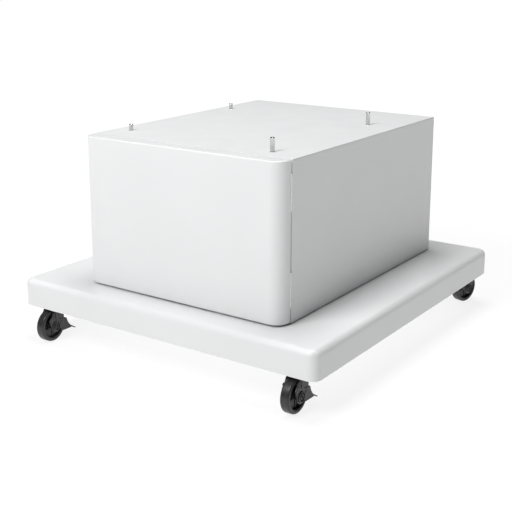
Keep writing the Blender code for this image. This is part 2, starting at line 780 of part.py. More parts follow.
def make_wheel(name, swivel, finishes):
    """The wheel centre, dished on both sides, and the tyre round it."""
    place = (0, -CASTER_TRAIL, WHEEL_RADIUS)
    rim_radius = WHEEL_RADIUS - TYRE_DEPTH - GAP
    hub_half = LEG_INNER - GAP
    web, rim = WEB_THICKNESS / 2, RIM_WIDTH / 2
    half_profile = [
        (AXLE_RADIUS + RUNNING, hub_half),
        (HUB_RADIUS, hub_half),
        (HUB_RADIUS, web),
        (rim_radius - RIM_DEPTH, web),
        (rim_radius - RIM_DEPTH, rim),
        (rim_radius, rim),
    ]
    profile = half_profile + [(radius, -height) for radius, height in reversed(half_profile)]
    centre = make_turned(f"caster_{name}_wheel", profile, 28, swivel, "X", place)
    dress(centre, finishes["black_nylon"])
    half = WHEEL_WIDTH / 2
    corner = (WHEEL_RADIUS - TYRE_EDGE, half - TYRE_EDGE)
    crown = arc(corner, TYRE_EDGE, 90, 0, 3)
    crown += arc((corner[0], -corner[1]), TYRE_EDGE, 0, -90, 3)
    inner = WHEEL_RADIUS - TYRE_DEPTH
    tyre_profile = [(inner, half), *crown, (inner, -half)]
    tyre = make_turned(f"caster_{name}_tyre", tyre_profile, 36, swivel, "X", place)
    dress(tyre, finishes["black_rubber"])


def pedal_curve():
    """The pedal's upper surface from beside the tyre down to its tip, as (y, z)."""
    axle_y = -CASTER_TRAIL
    root = Vector((WHEEL_RADIUS + PEDAL_ROOT_CLEARANCE, WHEEL_RADIUS + PEDAL_ROOT_RISE))
    tip = Vector((PEDAL_REACH, PEDAL_TIP_HEIGHT))
    bend = Vector((root.x + PEDAL_BEND[0], tip.y + PEDAL_BEND[1]))
    points = []
    for step in range(PEDAL_STEPS + 1):
        t = step / PEDAL_STEPS
        spot = (1 - t) ** 2 * root + 2 * t * (1 - t) * bend + t**2 * tip
        points.append((axle_y + spot.x, spot.y))
    return points


def make_pedal(name, swivel, finishes):
    """The brake pedal: a curved tread behind the tyre, two side arms and the brake shoe."""
    axle_y = -CASTER_TRAIL
    upper = pedal_curve()
    lower = [(y, z - PEDAL_THICKNESS) for y, z in reversed(upper)]
    outer = ARM_INNER + PEDAL_ARM
    pedal = make_prism(
        f"brake_pedal_{name}", upper + lower, -outer + GAP, outer - GAP, "X", swivel
    )
    pivot = (axle_y + PIVOT_BACK, WHEEL_RADIUS + PIVOT_RISE)
    shoe_high = WHEEL_RADIUS - SHOE_TOP
    shoe_front = axle_y + WHEEL_RADIUS + SHOE_CLEARANCE - SHOE_TOP**2 / (2 * WHEEL_RADIUS)
    root_y, root_z = upper[0]
    arm = [
        (pivot[0] - ARM_REACH, pivot[1] + ARM_REACH),
        (root_y, root_z - GAP),
        *[(y, z - PEDAL_THICKNESS / 2) for y, z in upper[1 : PEDAL_STEPS - 2]],
        (shoe_front + SHOE_THICKNESS + ARM_HEEL, PEDAL_TIP_HEIGHT + ARM_HEEL_RISE),
        (pivot[0] + ARM_BELLY, PEDAL_TIP_HEIGHT + ARM_BELLY_RISE),
        (pivot[0] - ARM_REACH, pivot[1] - ARM_REACH),
    ]
    tools = []
    for side in (-1, 1):
        ends = sorted((side * ARM_INNER, side * outer))
        tools.append(make_prism(f"arm_{name}_{side}", arm, ends[0], ends[1], "X", swivel))
    shoe = make_box(
        f"shoe_{name}",
        (-outer + GAP, shoe_front, shoe_high - SHOE_HEIGHT),
        (outer - GAP, shoe_front + SHOE_THICKNESS, shoe_high),
        swivel,
    )
    combine(pedal, tools + [shoe], "UNION")
    hole = bore(
        f"pivot_hole_{name}", PIVOT_RADIUS + 1.5 * RUNNING, (0, *pivot), 0.1, "X", swivel
    )
    combine(pedal, [hole], "DIFFERENCE")
    dress(pedal, finishes["black_nylon"])


def make_caster(name, place, finishes):
    """One swivel caster, under an empty on its swivel axis."""
    side, end, heading, braked = place
    inset = CASTER_REAR_INSET if end > 0 else CASTER_FRONT_INSET
    swivel = bpy.data.objects.new(f"swivel_{name}", None)
    swivel.location = (side * CASTER_X, end * (BASE_DEPTH / 2 - inset), 0)
    swivel.rotation_euler.z = math.radians(heading)
    bpy.context.scene.collection.objects.link(swivel)
    fixed = bpy.data.objects.new(f"seat_{name}", None)
    fixed.location = swivel.location
    bpy.context.scene.collection.objects.link(fixed)
    make_mount_plate(name, fixed, finishes)
    make_kingpin(name, fixed, finishes)
    make_fork(name, swivel, finishes, braked)
    make_axle(name, swivel, finishes)
    make_wheel(name, swivel, finishes)
    if braked:
        make_pedal(name, swivel, finishes)


def main():
    clear_scene()
    finishes = make_finishes()
    pin_places = []
    for side, from_side, from_front, _height in LOCATING_PINS.values():
        edge = CAB_RIGHT if side > 0 else CAB_LEFT
        pin_places.append((edge - side * from_side, CABINET_FRONT + from_front))
    make_tray(finishes)
    make_rails(finishes)
    make_crossbars(finishes)
    make_plinth(finishes)
    make_sides(finishes)
    make_top(finishes, pin_places)
    make_back(finishes)
    make_floor(finishes)
    make_locating_pins(finishes, pin_places)
    make_door(finishes)
    for name, place in CASTERS.items():
        make_caster(name, place, finishes)


main()
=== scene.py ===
"""Looks for a low printer cabinet on a wheeled base: moulded covers, folded sheets and casters.

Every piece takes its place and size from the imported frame. Metres, +Z up, the door faces -Y.
"""

import json
import logging
import math
from collections.abc import Callable, Iterator, Sequence
from contextlib import contextmanager
from dataclasses import dataclass, field
from enum import Enum

import bmesh
import bpy
from mathutils import Matrix, Vector


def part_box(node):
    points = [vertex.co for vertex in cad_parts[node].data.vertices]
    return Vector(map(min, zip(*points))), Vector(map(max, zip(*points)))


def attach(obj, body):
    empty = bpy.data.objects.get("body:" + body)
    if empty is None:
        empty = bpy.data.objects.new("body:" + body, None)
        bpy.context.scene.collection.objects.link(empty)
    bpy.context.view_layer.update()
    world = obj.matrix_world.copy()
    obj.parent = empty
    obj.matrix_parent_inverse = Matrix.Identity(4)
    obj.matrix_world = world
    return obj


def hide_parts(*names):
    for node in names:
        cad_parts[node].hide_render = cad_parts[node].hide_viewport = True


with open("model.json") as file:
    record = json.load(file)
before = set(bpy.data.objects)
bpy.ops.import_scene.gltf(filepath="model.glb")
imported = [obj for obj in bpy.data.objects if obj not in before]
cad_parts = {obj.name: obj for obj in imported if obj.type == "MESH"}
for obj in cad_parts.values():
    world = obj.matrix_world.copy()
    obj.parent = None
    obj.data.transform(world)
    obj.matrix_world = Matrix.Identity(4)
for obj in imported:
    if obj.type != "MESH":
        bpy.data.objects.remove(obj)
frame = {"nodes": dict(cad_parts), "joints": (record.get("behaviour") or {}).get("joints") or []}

log = logging.getLogger("cabinet")

Point = tuple[float, float]
Colour = tuple[float, float, float]
Piece = bpy.types.Object

SEAM = 0.0002  # how far a new piece stays inside the CAD node it replaces where they meet others
SMOOTH_ANGLE = math.radians(32)
SHARP_ANGLE = 50  # degrees; edges sharper than this are eased
CORNER_ANGLE = 1.0  # radians; edges sharper than this are corners
FACING = 0.9  # a face looks along an axis when its normal has this much of it
PATTERN_DARK, PATTERN_LIGHT = 0.3, 0.7  # the middle range of a noise pattern
BORE_END = 0.05  # far enough to pass through any caster piece
SLOT_REACH = Vector((0, 0.1, 0.01))  # how far the cut between the legs runs past the fork
BUMPER_DOME = ((1, 0), (1, 0.3), (0.94, 0.55), (0.78, 0.82), (0.5, 0.96), (0, 1))
COUNTERSINK = ((0, -0.002), (0.0008, -0.002), (0.0008, -0.0002), (0.0024, 0.0014), (0, 0.0014))
BOLT_DOME = ((0, 0), (0.55, 0), (0.84, 0.16), (0.97, 0.42), (1, 0.7), (1, 1))
RIB_PATH = (
    (-0.0008, 0.015),
    (0.009, 0.0095),
    (0.021, 0.009),
    (0.021, 0.0105),
    (0.0095, 0.011),
    (0.001, 0.0158),
)
LAMPS = (
    ("key_softbox", (-0.4, -2.4, 2.7), 1.6, 74),
    ("top_softbox", (-0.1, 0.2, 3.3), 1.4, 64),
)


# ---- choices
class Axis(Enum):
    """An axis that a profile is turned about or pushed along."""

    X = Vector((1, 0, 0))
    Y = Vector((0, 1, 0))
    Z = Vector((0, 0, 1))


class Corner(Enum):
    """Where a caster sits under the base."""

    FRONT_LEFT = "front_left"
    FRONT_RIGHT = "front_right"
    REAR_LEFT = "rear_left"
    REAR_RIGHT = "rear_right"


class Join(Enum):
    """How a Boolean treats its tool."""

    CUT = "DIFFERENCE"
    WELD = "UNION"


# ---- finishes
def add_node(tree: bpy.types.NodeTree, kind: str, values: dict[str, object]) -> bpy.types.Node:
    """Adds a shader node and sets its plain inputs.

    Args:
        tree: The node tree to add it to.
        kind: The node's type.
        values: The value of each input that isn't left alone, by socket name.

    Returns:
        The new node.
    """
    node = tree.nodes.new(kind)
    for socket, value in values.items():
        node.inputs[socket].default_value = value
    return node


class Surface:
    """A material's node graph, with short ways to add what the finishes share."""

    def __init__(self, name: str) -> None:
        """Starts an empty material with one Principled shader.

        Args:
            name: The material's name.
        """
        self.material = bpy.data.materials.new(name)
        self.material.use_nodes = True
        self.tree = self.material.node_tree
        self.shader = self.tree.nodes["Principled BSDF"]
        self.coords = self.tree.nodes.new("ShaderNodeTexCoord").outputs["Object"]

    def link(self, source: bpy.types.NodeSocket, target: bpy.types.NodeSocket) -> None:
        """Joins two sockets."""
        self.tree.links.new(source, target)

    def fed(
        self,
        kind: str,
        values: dict[str, object],
        along: bpy.types.NodeSocket | None = None,
    ) -> bpy.types.Node:
        """Adds a node that reads coordinates.

        Args:
            kind: The node's type.
            values: The values of its plain inputs.
            along: Coordinates to use in place of the plain ones.

        Returns:
            The new node.
        """
        node = add_node(self.tree, kind, values)
        self.link(along or self.coords, node.inputs["Vector"])
        return node

    def stretched(self, scale: Sequence[float]) -> bpy.types.NodeSocket:
        """Object coordinates, scaled along each axis."""
        return self.fed("ShaderNodeMapping", {"Scale": scale}).outputs["Vector"]

    def noise(
        self, scale: float, detail: float = 3.0, along: bpy.types.NodeSocket | None = None
    ) -> bpy.types.NodeSocket:
        """A noise pattern with this many features per metre and octaves of finer noise."""
        values = {"Scale": scale, "Detail": detail}
        return self.fed("ShaderNodeTexNoise", values, along).outputs["Fac"]

    def cells(self, scale: float) -> bpy.types.NodeSocket:
        """A crystal pattern with this many cells per metre, each with its own random colour."""
        return self.fed("ShaderNodeTexVoronoi", {"Scale": scale}).outputs["Color"]

    def gloss(
        self, pattern: bpy.types.NodeSocket, middle: float, glossier: float, duller: float
    ) -> None:
        """Varies the roughness with a pattern.

        Args:
            pattern: The pattern.
            middle: The roughness to vary about.
            glossier: How much less the dark parts have.
            duller: How much more the light parts have.
        """
        span = {"From Min": PATTERN_DARK, "From Max": PATTERN_LIGHT}
        span |= {"To Min": middle - glossier, "To Max": middle + duller}
        ranged = add_node(self.tree, "ShaderNodeMapRange", span)
        self.link(pattern, ranged.inputs["Value"])
        self.link(ranged.outputs["Result"], self.shader.inputs["Roughness"])

    def tint(self, value: bpy.types.NodeSocket, dark: Colour, light: Colour) -> None:
        """Colours the surface between two shades.

        Args:
            value: The pattern that chooses between them.
            dark: The shade for low values.
            light: The shade for high values.
        """
        ramp = self.tree.nodes.new("ShaderNodeValToRGB")
        stops = ((PATTERN_DARK, dark), (PATTERN_LIGHT, light))
        for element, (position, colour) in zip(ramp.color_ramp.elements, stops):
            element.position = position
            element.color = (*colour, 1)
        self.link(value, ramp.inputs["Fac"])
        self.link(ramp.outputs["Color"], self.shader.inputs["Base Color"])

    def relief(self, layers: Sequence[tuple[bpy.types.NodeSocket, float]]) -> None:
        """Gives the surface height, as a chain of bumps.

        Args:
            layers: Pairs of a pattern and the height in metres that it spans.
        """
        normal = None
        for height, distance in layers:
            bump = add_node(self.tree, "ShaderNodeBump", {"Distance": distance})
            self.link(height, bump.inputs["Height"])
            if normal:
                self.link(normal, bump.inputs["Normal"])
            normal = bump.outputs["Normal"]
        if normal:
            self.link(normal, self.shader.inputs["Normal"])


def shade(colour: Colour, factor: float) -> Colour:
    """A colour made lighter by a factor above 1, or darker by one below it."""
    return tuple(min(1.0, channel * factor) for channel in colour)


@dataclass(frozen=True)
class Finish:
    """What every finish has."""

    name: str
    slot: str
    colour: Colour
    roughness: float
    variation: float = 0.02
    drift_scale: float = 9.0
    drift_detail: float = 4.0

    def texture(self, surface: Surface) -> None:
        """Adds the finish's own relief and gloss.

        Args:
            surface: The material being made.
        """
        raise NotImplementedError

    def material(self) -> bpy.types.Material:
        """Makes the material once, and hands out the same one after that.

        Returns:
            The finished material.
        """
        made = bpy.data.materials.get(self.name)
        if made:
            return made
        surface = Surface(self.name)
        drift = surface.noise(self.drift_scale, self.drift_detail)
        surface.tint(drift, shade(self.colour, 1 - self.variation), shade(self.colour, 1))
        self.texture(surface)
        return surface.material


@dataclass(frozen=True)
class Moulding(Finish):
    """Satin moulded plastic: a fine spark-eroded grain with a slow change in gloss."""

    grain: float = 1500.0
    grain_height: float = 0.000012
    sink: float = 6.0
    sink_height: float = 0.0004
    gloss_scale: float = 14.0
    gloss_change: float = 0.03

    def texture(self, surface: Surface) -> None:
        """Adds the mould's grain.

        Args:
            surface: The material being made.
        """
        patches = surface.noise(self.gloss_scale)
        surface.gloss(patches, self.roughness, self.gloss_change, self.gloss_change)
        grain = surface.noise(self.grain, 2.0)
        sink = surface.noise(self.sink, 1.0)
        surface.relief([(grain, self.grain_height), (sink, self.sink_height)])


@dataclass(frozen=True)
class PowderCoat(Finish):
    """Baked powder enamel on sheet steel: orange peel under a fine tooth."""

    peel: float = 330.0
    peel_height: float = 0.00004
    tooth: float = 2600.0
    tooth_height: float = 0.000006
    gloss_scale: float = 22.0
    glossier: float = 0.02
    duller: float = 0.03

    def texture(self, surface: Surface) -> None:
        """Adds the orange peel.

        Args:
            surface: The material being made.
        """
        surface.gloss(surface.noise(self.gloss_scale), self.roughness, self.glossier, self.duller)
        peel = surface.noise(self.peel, 1.5)
        tooth = surface.noise(self.tooth, 1.0)
        surface.relief([(peel, self.peel_height), (tooth, self.tooth_height)])


@dataclass(frozen=True)
class Plated(Finish):
    """Plated steel with fine lines along one axis from rolling, drawing or turning."""

    lines: tuple[float, float, float] = (4.0, 4.0, 2200.0)
    line_height: float = 0.000015
    spangle: float = 0.0
    spangle_shades: tuple[float, float] = (0.86, 1.05)

    def texture(self, surface: Surface) -> None:
        """Adds the lines and, on zinc, the crystals.

        Args:
            surface: The material being made.
        """
        surface.shader.inputs["Metallic"].default_value = 1.0
        lines = surface.noise(1.0, 2.0, surface.stretched(self.lines))
        if self.spangle:
            crystals = surface.cells(self.spangle)
            surface.tint(crystals, *(shade(self.colour, factor) for factor in self.spangle_shades))
            surface.gloss(crystals, self.roughness, 0.08, 0.1)
        else:
            surface.gloss(lines, self.roughness, 0.07, 0.09)
        surface.relief([(lines, self.line_height)])


@dataclass(frozen=True)
class Nylon(Finish):
    """Glass-filled nylon: a cloudy skin over a short, coarse grain."""

    grain: float = 900.0
    grain_height: float = 0.00003
    cloud: float = 120.0
    cloud_change: float = 0.12
    glossier: float = 0.06
    duller: float = 0.1

    def texture(self, surface: Surface) -> None:
        """Adds the clouding and the grain.

        Args:
            surface: The material being made.
        """
        cloud = surface.noise(self.cloud, 5.0)
        change = self.cloud_change
        surface.tint(cloud, shade(self.colour, 1 - change), shade(self.colour, 1 + change))
        surface.gloss(cloud, self.roughness, self.glossier, self.duller)
        surface.relief([(surface.noise(self.grain), self.grain_height)])


@dataclass(frozen=True)
class Tyre(Finish):
    """Black polyurethane: faint dust in a soft, slightly uneven skin."""

    dust: Colour = (0.032, 0.0315, 0.031)
    patch: float = 150.0
    skin: float = 420.0
    skin_height: float = 0.00005
    glossier: float = 0.04
    duller: float = 0.1

    def texture(self, surface: Surface) -> None:
        """Adds the dust and the skin.

        Args:
            surface: The material being made.
        """
        patches = surface.noise(self.patch, 6.0)
        surface.tint(patches, self.colour, self.dust)
        surface.gloss(patches, self.roughness, self.glossier, self.duller)
        surface.relief([(surface.noise(self.skin, 4.0), self.skin_height)])


MOULDING = Moulding("white_satin_moulding", "white_moulding", (0.87, 0.875, 0.88), 0.36)
ENAMEL = PowderCoat("white_powder_coat", "white_enamel", (0.85, 0.855, 0.86), 0.42)
ZINC = Plated("zinc_plate", "galvanised", (0.62, 0.63, 0.64), 0.38, spangle=160.0)
NICKEL = Plated("nickel_plate", "bright_steel", (0.6, 0.595, 0.59), 0.16)
BLACK_ZINC = Plated("black_zinc", "black_steel", (0.06, 0.06, 0.064), 0.34, spangle=420.0)
FORK_NYLON = Nylon("fork_nylon", "grey_nylon", (0.03, 0.03, 0.031), 0.4)
BLACK_NYLON = Nylon("black_nylon", "black_nylon", (0.006, 0.006, 0.0065), 0.36, grain=1300.0)
TYRE_SKIN = Tyre("tyre_skin", "black_rubber", (0.022, 0.022, 0.023), 0.32)


# ---- bench tools
def put_down_everything() -> None:
    """Leaves edit mode and selects nothing."""
    if bpy.context.object and bpy.context.object.mode != "OBJECT":
        bpy.ops.object.mode_set(mode="OBJECT")
    bpy.ops.object.select_all(action="DESELECT")


def take(piece: Piece) -> None:
    """Selects one piece alone and makes it active.

    Args:
        piece: The piece to work on.
    """
    put_down_everything()
    piece.select_set(True)
    bpy.context.view_layer.objects.active = piece


@contextmanager
def editing(piece: Piece) -> Iterator[None]:
    """Edit mode on one piece, with nothing selected to start with.

    Args:
        piece: The piece to work on.
    """
    take(piece)
    bpy.ops.object.mode_set(mode="EDIT")
    bpy.ops.mesh.select_all(action="DESELECT")
    yield
    bpy.ops.object.mode_set(mode="OBJECT")


def pick(piece: Piece, kind: str, test: Callable[..., bool]) -> int:
    """Selects what passes a test, in edit mode.

    Args:
        piece: The piece in edit mode.
        kind: "VERT", "EDGE" or "FACE".
        test: Takes a bmesh vertex, edge or face.

    Returns:
        How many were selected.
    """
    bpy.ops.mesh.select_mode(type=kind)
    bpy.ops.mesh.select_all(action="DESELECT")
    mesh = bmesh.from_edit_mesh(piece.data)
    mesh.normal_update()
    found = [item for item in getattr(mesh, kind.lower() + "s") if test(item)]
    for item in found:
        item.select_set(True)
    mesh.select_flush_mode()
    bmesh.update_edit_mesh(piece.data)
    return len(found)


def edge_runs(edge: bmesh.types.BMEdge, axis: Axis) -> bool:
    """Whether an edge lies along an axis."""
    run = (edge.verts[1].co - edge.verts[0].co).normalized()
    return abs(run.dot(axis.value)) > 0.999


def edge_middle(edge: bmesh.types.BMEdge) -> Vector:
    """The middle of an edge."""
    return (edge.verts[0].co + edge.verts[1].co) / 2


def is_corner(edge: bmesh.types.BMEdge) -> bool:
    """Whether an edge is a sharp corner, and not a facet of a curve."""
    return edge.calc_face_angle(0) > CORNER_ANGLE


def round_over(
    piece: Piece,
    test: Callable[[bmesh.types.BMEdge], bool],
    radius: float,
    segments: int = 4,
) -> None:
    """Rounds the edges that pass a test, in edit mode.

    Args:
        piece: The piece to work on.
        test: Takes a bmesh edge.
        radius: The rounding's width.
        segments: Facets across it.
    """
    with editing(piece):
        if pick(piece, "EDGE", test):
            bpy.ops.mesh.bevel(
                offset=radius, segments=segments, profile=0.5, affect="EDGES", clamp_overlap=True
            )


def crease_over(
    piece: Piece, radius: float, segments: int = 2, angle: float = SHARP_ANGLE
) -> None:
    """Rounds every sharp edge a little with a Bevel modifier, and applies it.

    Args:
        piece: The piece to work on.
        radius: The rounding's width.
        segments: Facets across it.
        angle: Edges sharper than this, in degrees, are rounded.
    """
    bevel = piece.modifiers.new("edges", "BEVEL")
    bevel.width = radius
    bevel.segments = segments
    bevel.limit_method = "ANGLE"
    bevel.angle_limit = math.radians(angle)
    bevel.use_clamp_overlap = True
    apply(piece)


def apply(piece: Piece) -> None:
    """Applies every modifier on a piece.

    Args:
        piece: The piece to work on.
    """
    take(piece)
    for modifier in list(piece.modifiers):
        bpy.ops.object.modifier_apply(modifier=modifier.name)


def seat(piece: Piece) -> Piece:
    """Moves a piece's place into its mesh, so that its object sits at the origin."""
    take(piece)
    bpy.ops.object.transform_apply(location=True, rotation=True, scale=True)
    return piece


def hollow(piece: Piece, wall: float) -> None:
    """Gives an open skin a wall, inwards from its outer face.

    Args:
        piece: The skin.
        wall: The wall's thickness.
    """
    shell = piece.modifiers.new("wall", "SOLIDIFY")
    shell.thickness = wall
    shell.offset = -1
    shell.use_even_offset = True
    apply(piece)


def block(name: str, low: Vector, high: Vector) -> Piece:
    """A block between two corners.

    Args:
        name: The piece's name.
        low: Its lowest corner.
        high: Its highest corner.

    Returns:
        The new piece.
    """
    put_down_everything()
    low, high = Vector(low), Vector(high)
    bpy.ops.mesh.primitive_cube_add(size=1, location=(low + high) / 2)
    piece = bpy.context.object
    piece.name = name
    piece.scale = high - low
    return seat(piece)


def outline_plate(
    name: str, outline: Sequence[Point], start: float, end: float, along: Axis
) -> Piece:
    """A flat outline given a thickness.

    Args:
        name: The piece's name.
        outline: Its points: (y, z) along X, (x, z) along Y, (x, y) along Z.
        start: Where the thickness starts on that axis.
        end: Where it ends.
        along: The axis of the thickness.

    Returns:
        The new piece.
    """
    place = {
        Axis.X: lambda u, v: (start, u, v),
        Axis.Y: lambda u, v: (u, start, v),
        Axis.Z: lambda u, v: (u, v, start),
    }[along]
    put_down_everything()
    bpy.ops.mesh.primitive_circle_add(vertices=len(outline), fill_type="NGON")
    piece = bpy.context.object
    piece.name = name
    for vertex, point in zip(piece.data.vertices, outline):
        vertex.co = place(*point)
    with editing(piece):
        bpy.ops.mesh.select_all(action="SELECT")
        bpy.ops.mesh.extrude_region_move(
            TRANSFORM_OT_translate={"value": along.value * (end - start)}
        )
        bpy.ops.mesh.select_all(action="SELECT")
        bpy.ops.mesh.normals_make_consistent(inside=False)
    return piece


def turned(
    name: str,
    profile: Sequence[Point],
    steps: int = 64,
    about: Axis = Axis.Z,
    centre: Sequence[float] = (0, 0, 0),
) -> Piece:
    """A closed profile turned on a lathe.

    Args:
        name: The piece's name.
        profile: (radius, height) points in order round the section.
        steps: Facets round the turn.
        about: The axis it turns about.
        centre: The point that radius 0, height 0 lands on.

    Returns:
        The new piece.
    """
    put_down_everything()
    bpy.ops.mesh.primitive_circle_add(vertices=len(profile), fill_type="NOTHING")
    piece = bpy.context.object
    piece.name = name
    for vertex, (radius, height) in zip(piece.data.vertices, profile):
        vertex.co = (radius, 0, height)
    with editing(piece):
        bpy.ops.mesh.select_all(action="SELECT")
        bpy.ops.mesh.spin(
            steps=steps, angle=math.tau, center=(0, 0, 0), axis=(0, 0, 1), use_auto_merge=True
        )
        bpy.ops.mesh.select_all(action="SELECT")
        bpy.ops.mesh.remove_doubles(threshold=1e-6)
        bpy.ops.mesh.dissolve_degenerate(threshold=1e-7)
        bpy.ops.mesh.select_all(action="SELECT")
        bpy.ops.mesh.normals_make_consistent(inside=False)
    if about is Axis.X:
        piece.rotation_euler = (0, math.radians(90), 0)
    elif about is Axis.Y:
        piece.rotation_euler = (math.radians(-90), 0, 0)
    piece.location = centre
    return seat(piece)


def from_node(name: str, node: str) -> Piece:
    """A copy of a CAD node to work on, with its loose triangles merged into whole faces.

    Args:
        name: The new piece's name.
        node: The node to copy.

    Returns:
        The new piece.
    """
    piece = bpy.data.objects.new(name, frame["nodes"][node].data.copy())
    bpy.context.scene.collection.objects.link(piece)
    with editing(piece):
        bpy.ops.mesh.select_all(action="SELECT")
        bpy.ops.mesh.remove_doubles(threshold=1e-6)
        bpy.ops.mesh.select_all(action="SELECT")
        bpy.ops.mesh.dissolve_limited(angle_limit=math.radians(1))
    return piece


def breadth(face: bmesh.types.BMFace) -> float:
    """How wide a long face is."""
    return face.calc_area() / max(edge.calc_length() for edge in face.edges)


def folded(name: str, node: str, bend: float, thickness: float, edge_radius: float) -> Piece:
    """A folded sheet from its CAD node, with real bends and its cut edges eased.

    Args:
        name: The new piece's name.
        node: The node to copy.
        bend: The outer radius of its bends.
        thickness: The sheet's thickness.
        edge_radius: The rounding on its cut edges.

    Returns:
        The new piece.
    """
    piece = from_node(name, node)

    def is_bend(edge: bmesh.types.BMEdge) -> bool:
        """Whether an edge lies between two broad faces that meet at an angle."""
        faces = edge.link_faces
        return (
            len(faces) == 2
            and is_corner(edge)
            and all(breadth(face) > 2 * thickness for face in faces)
        )

    round_over(piece, lambda edge: is_bend(edge) and edge.is_convex, bend, 5)
    inside = max(bend - thickness, edge_radius)
    round_over(piece, lambda edge: is_bend(edge) and not edge.is_convex, inside, 4)
    crease_over(piece, edge_radius)
    return piece


def combine(piece: Piece, tools: Sequence[Piece], how: Join) -> None:
    """Cuts tools from a piece or welds them to it, and throws the tools away.

    Args:
        piece: The piece to work on.
        tools: The shapes to use.
        how: Whether to cut or to weld.
    """
    for tool in tools:
        modifier = piece.modifiers.new("join", "BOOLEAN")
        modifier.operation = how.value
        modifier.solver = "EXACT"
        modifier.object = tool
    apply(piece)
    for tool in tools:
        bpy.data.objects.remove(tool)


def arc(centre: Point, radius: float, start: float, end: float, steps: int) -> list[Point]:
    """Points round an arc between two angles in degrees, both ends included."""
    turns = [math.radians(start + (end - start) * step / steps) for step in range(steps + 1)]
    return [(centre[0] + radius * math.cos(t), centre[1] + radius * math.sin(t)) for t in turns]


def smooth(piece: Piece) -> None:
    """Shades a piece smooth, with flat faces kept flat.

    Args:
        piece: The piece to work on.
    """
    take(piece)
    bpy.ops.object.shade_smooth_by_angle(angle=SMOOTH_ANGLE)
    modifier = piece.modifiers.new("flat faces", "WEIGHTED_NORMAL")
    modifier.keep_sharp = True
    modifier.weight = 100
    apply(piece)


def hand_over(piece: Piece, body: str, finish: Finish, *nodes: str) -> None:
    """Shades and dresses a finished piece, and seats it on its CAD body.

    Args:
        piece: The finished piece.
        body: The CAD body that it moves with.
        finish: What it is made of.
        nodes: The CAD nodes that it stands for.
    """
    smooth(piece)
    piece.data.materials.clear()
    piece.data.materials.append(finish.material())
    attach(piece, body)
    if nodes:
        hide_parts(*nodes)
    log.info("%s on %s, %d faces", piece.name, body, len(piece.data.polygons))


def mirrored(half: Sequence[Point]) -> list[Point]:
    """The upper half of a section followed by its mirror image."""
    return [*half, *((radius, -height) for radius, height in reversed(half))]


def bore_profile(radius: float) -> list[Point]:
    """The profile of a cutter that bores a hole through a caster piece."""
    return mirrored([(0, BORE_END), (radius, BORE_END)])


def joint(name: str) -> dict:
    """The frame's joint of that name."""
    return next(entry for entry in frame["joints"] if entry["name"] == name)


# ---- base
@dataclass
class Base:
    """The moulded base cover and the steel under it."""

    corner_radius: float = 0.018
    edge_radius: float = 0.012
    wall: float = 0.0025
    bend: float = 0.003
    steel_sheet: float = 0.002
    steel_edge: float = 0.0003
    bar_angle: float = 40
    segments: int = 10

    def cover(self) -> None:
        """Makes the cover: a tray turned upside down, soft on its upper edges."""
        low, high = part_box("base_tray")
        cover = block("base_cover", low, high)
        with editing(cover):
            pick(cover, "FACE", lambda face: face.normal.z < -FACING)
            bpy.ops.mesh.delete(type="ONLY_FACE")
        round_over(cover, lambda edge: edge_runs(edge, Axis.Z), self.corner_radius, self.segments)
        top = high.z - SEAM
        round_over(
            cover,
            lambda edge: edge_middle(edge).z > top
            and len(edge.link_faces) == 2
            and any(abs(face.normal.z) < 1 - FACING for face in edge.link_faces),
            self.edge_radius,
            self.segments,
        )
        hollow(cover, self.wall)
        hand_over(cover, "stand", MOULDING, "base_tray")

    def steel(self) -> None:
        """Makes the rails and crossbars as folded channels, and the flat plinth bars."""
        nodes = [f"base_rail_{side}" for side in ("left", "right")]
        nodes += [f"base_crossbar_{end}" for end in ("front", "rear")]
        for node in nodes:
            channel = folded(f"{node}_channel", node, self.bend, self.steel_sheet, self.steel_edge)
            hand_over(channel, "stand", ZINC, node)
        for side in ("left", "right"):
            bar = from_node(f"plinth_{side}", f"plinth_bar_{side}")
            crease_over(bar, self.steel_edge, angle=self.bar_angle)
            hand_over(bar, "stand", ZINC, f"plinth_bar_{side}")

    def build(self) -> None:
        """Makes and dresses the base."""
        self.cover()
        self.steel()


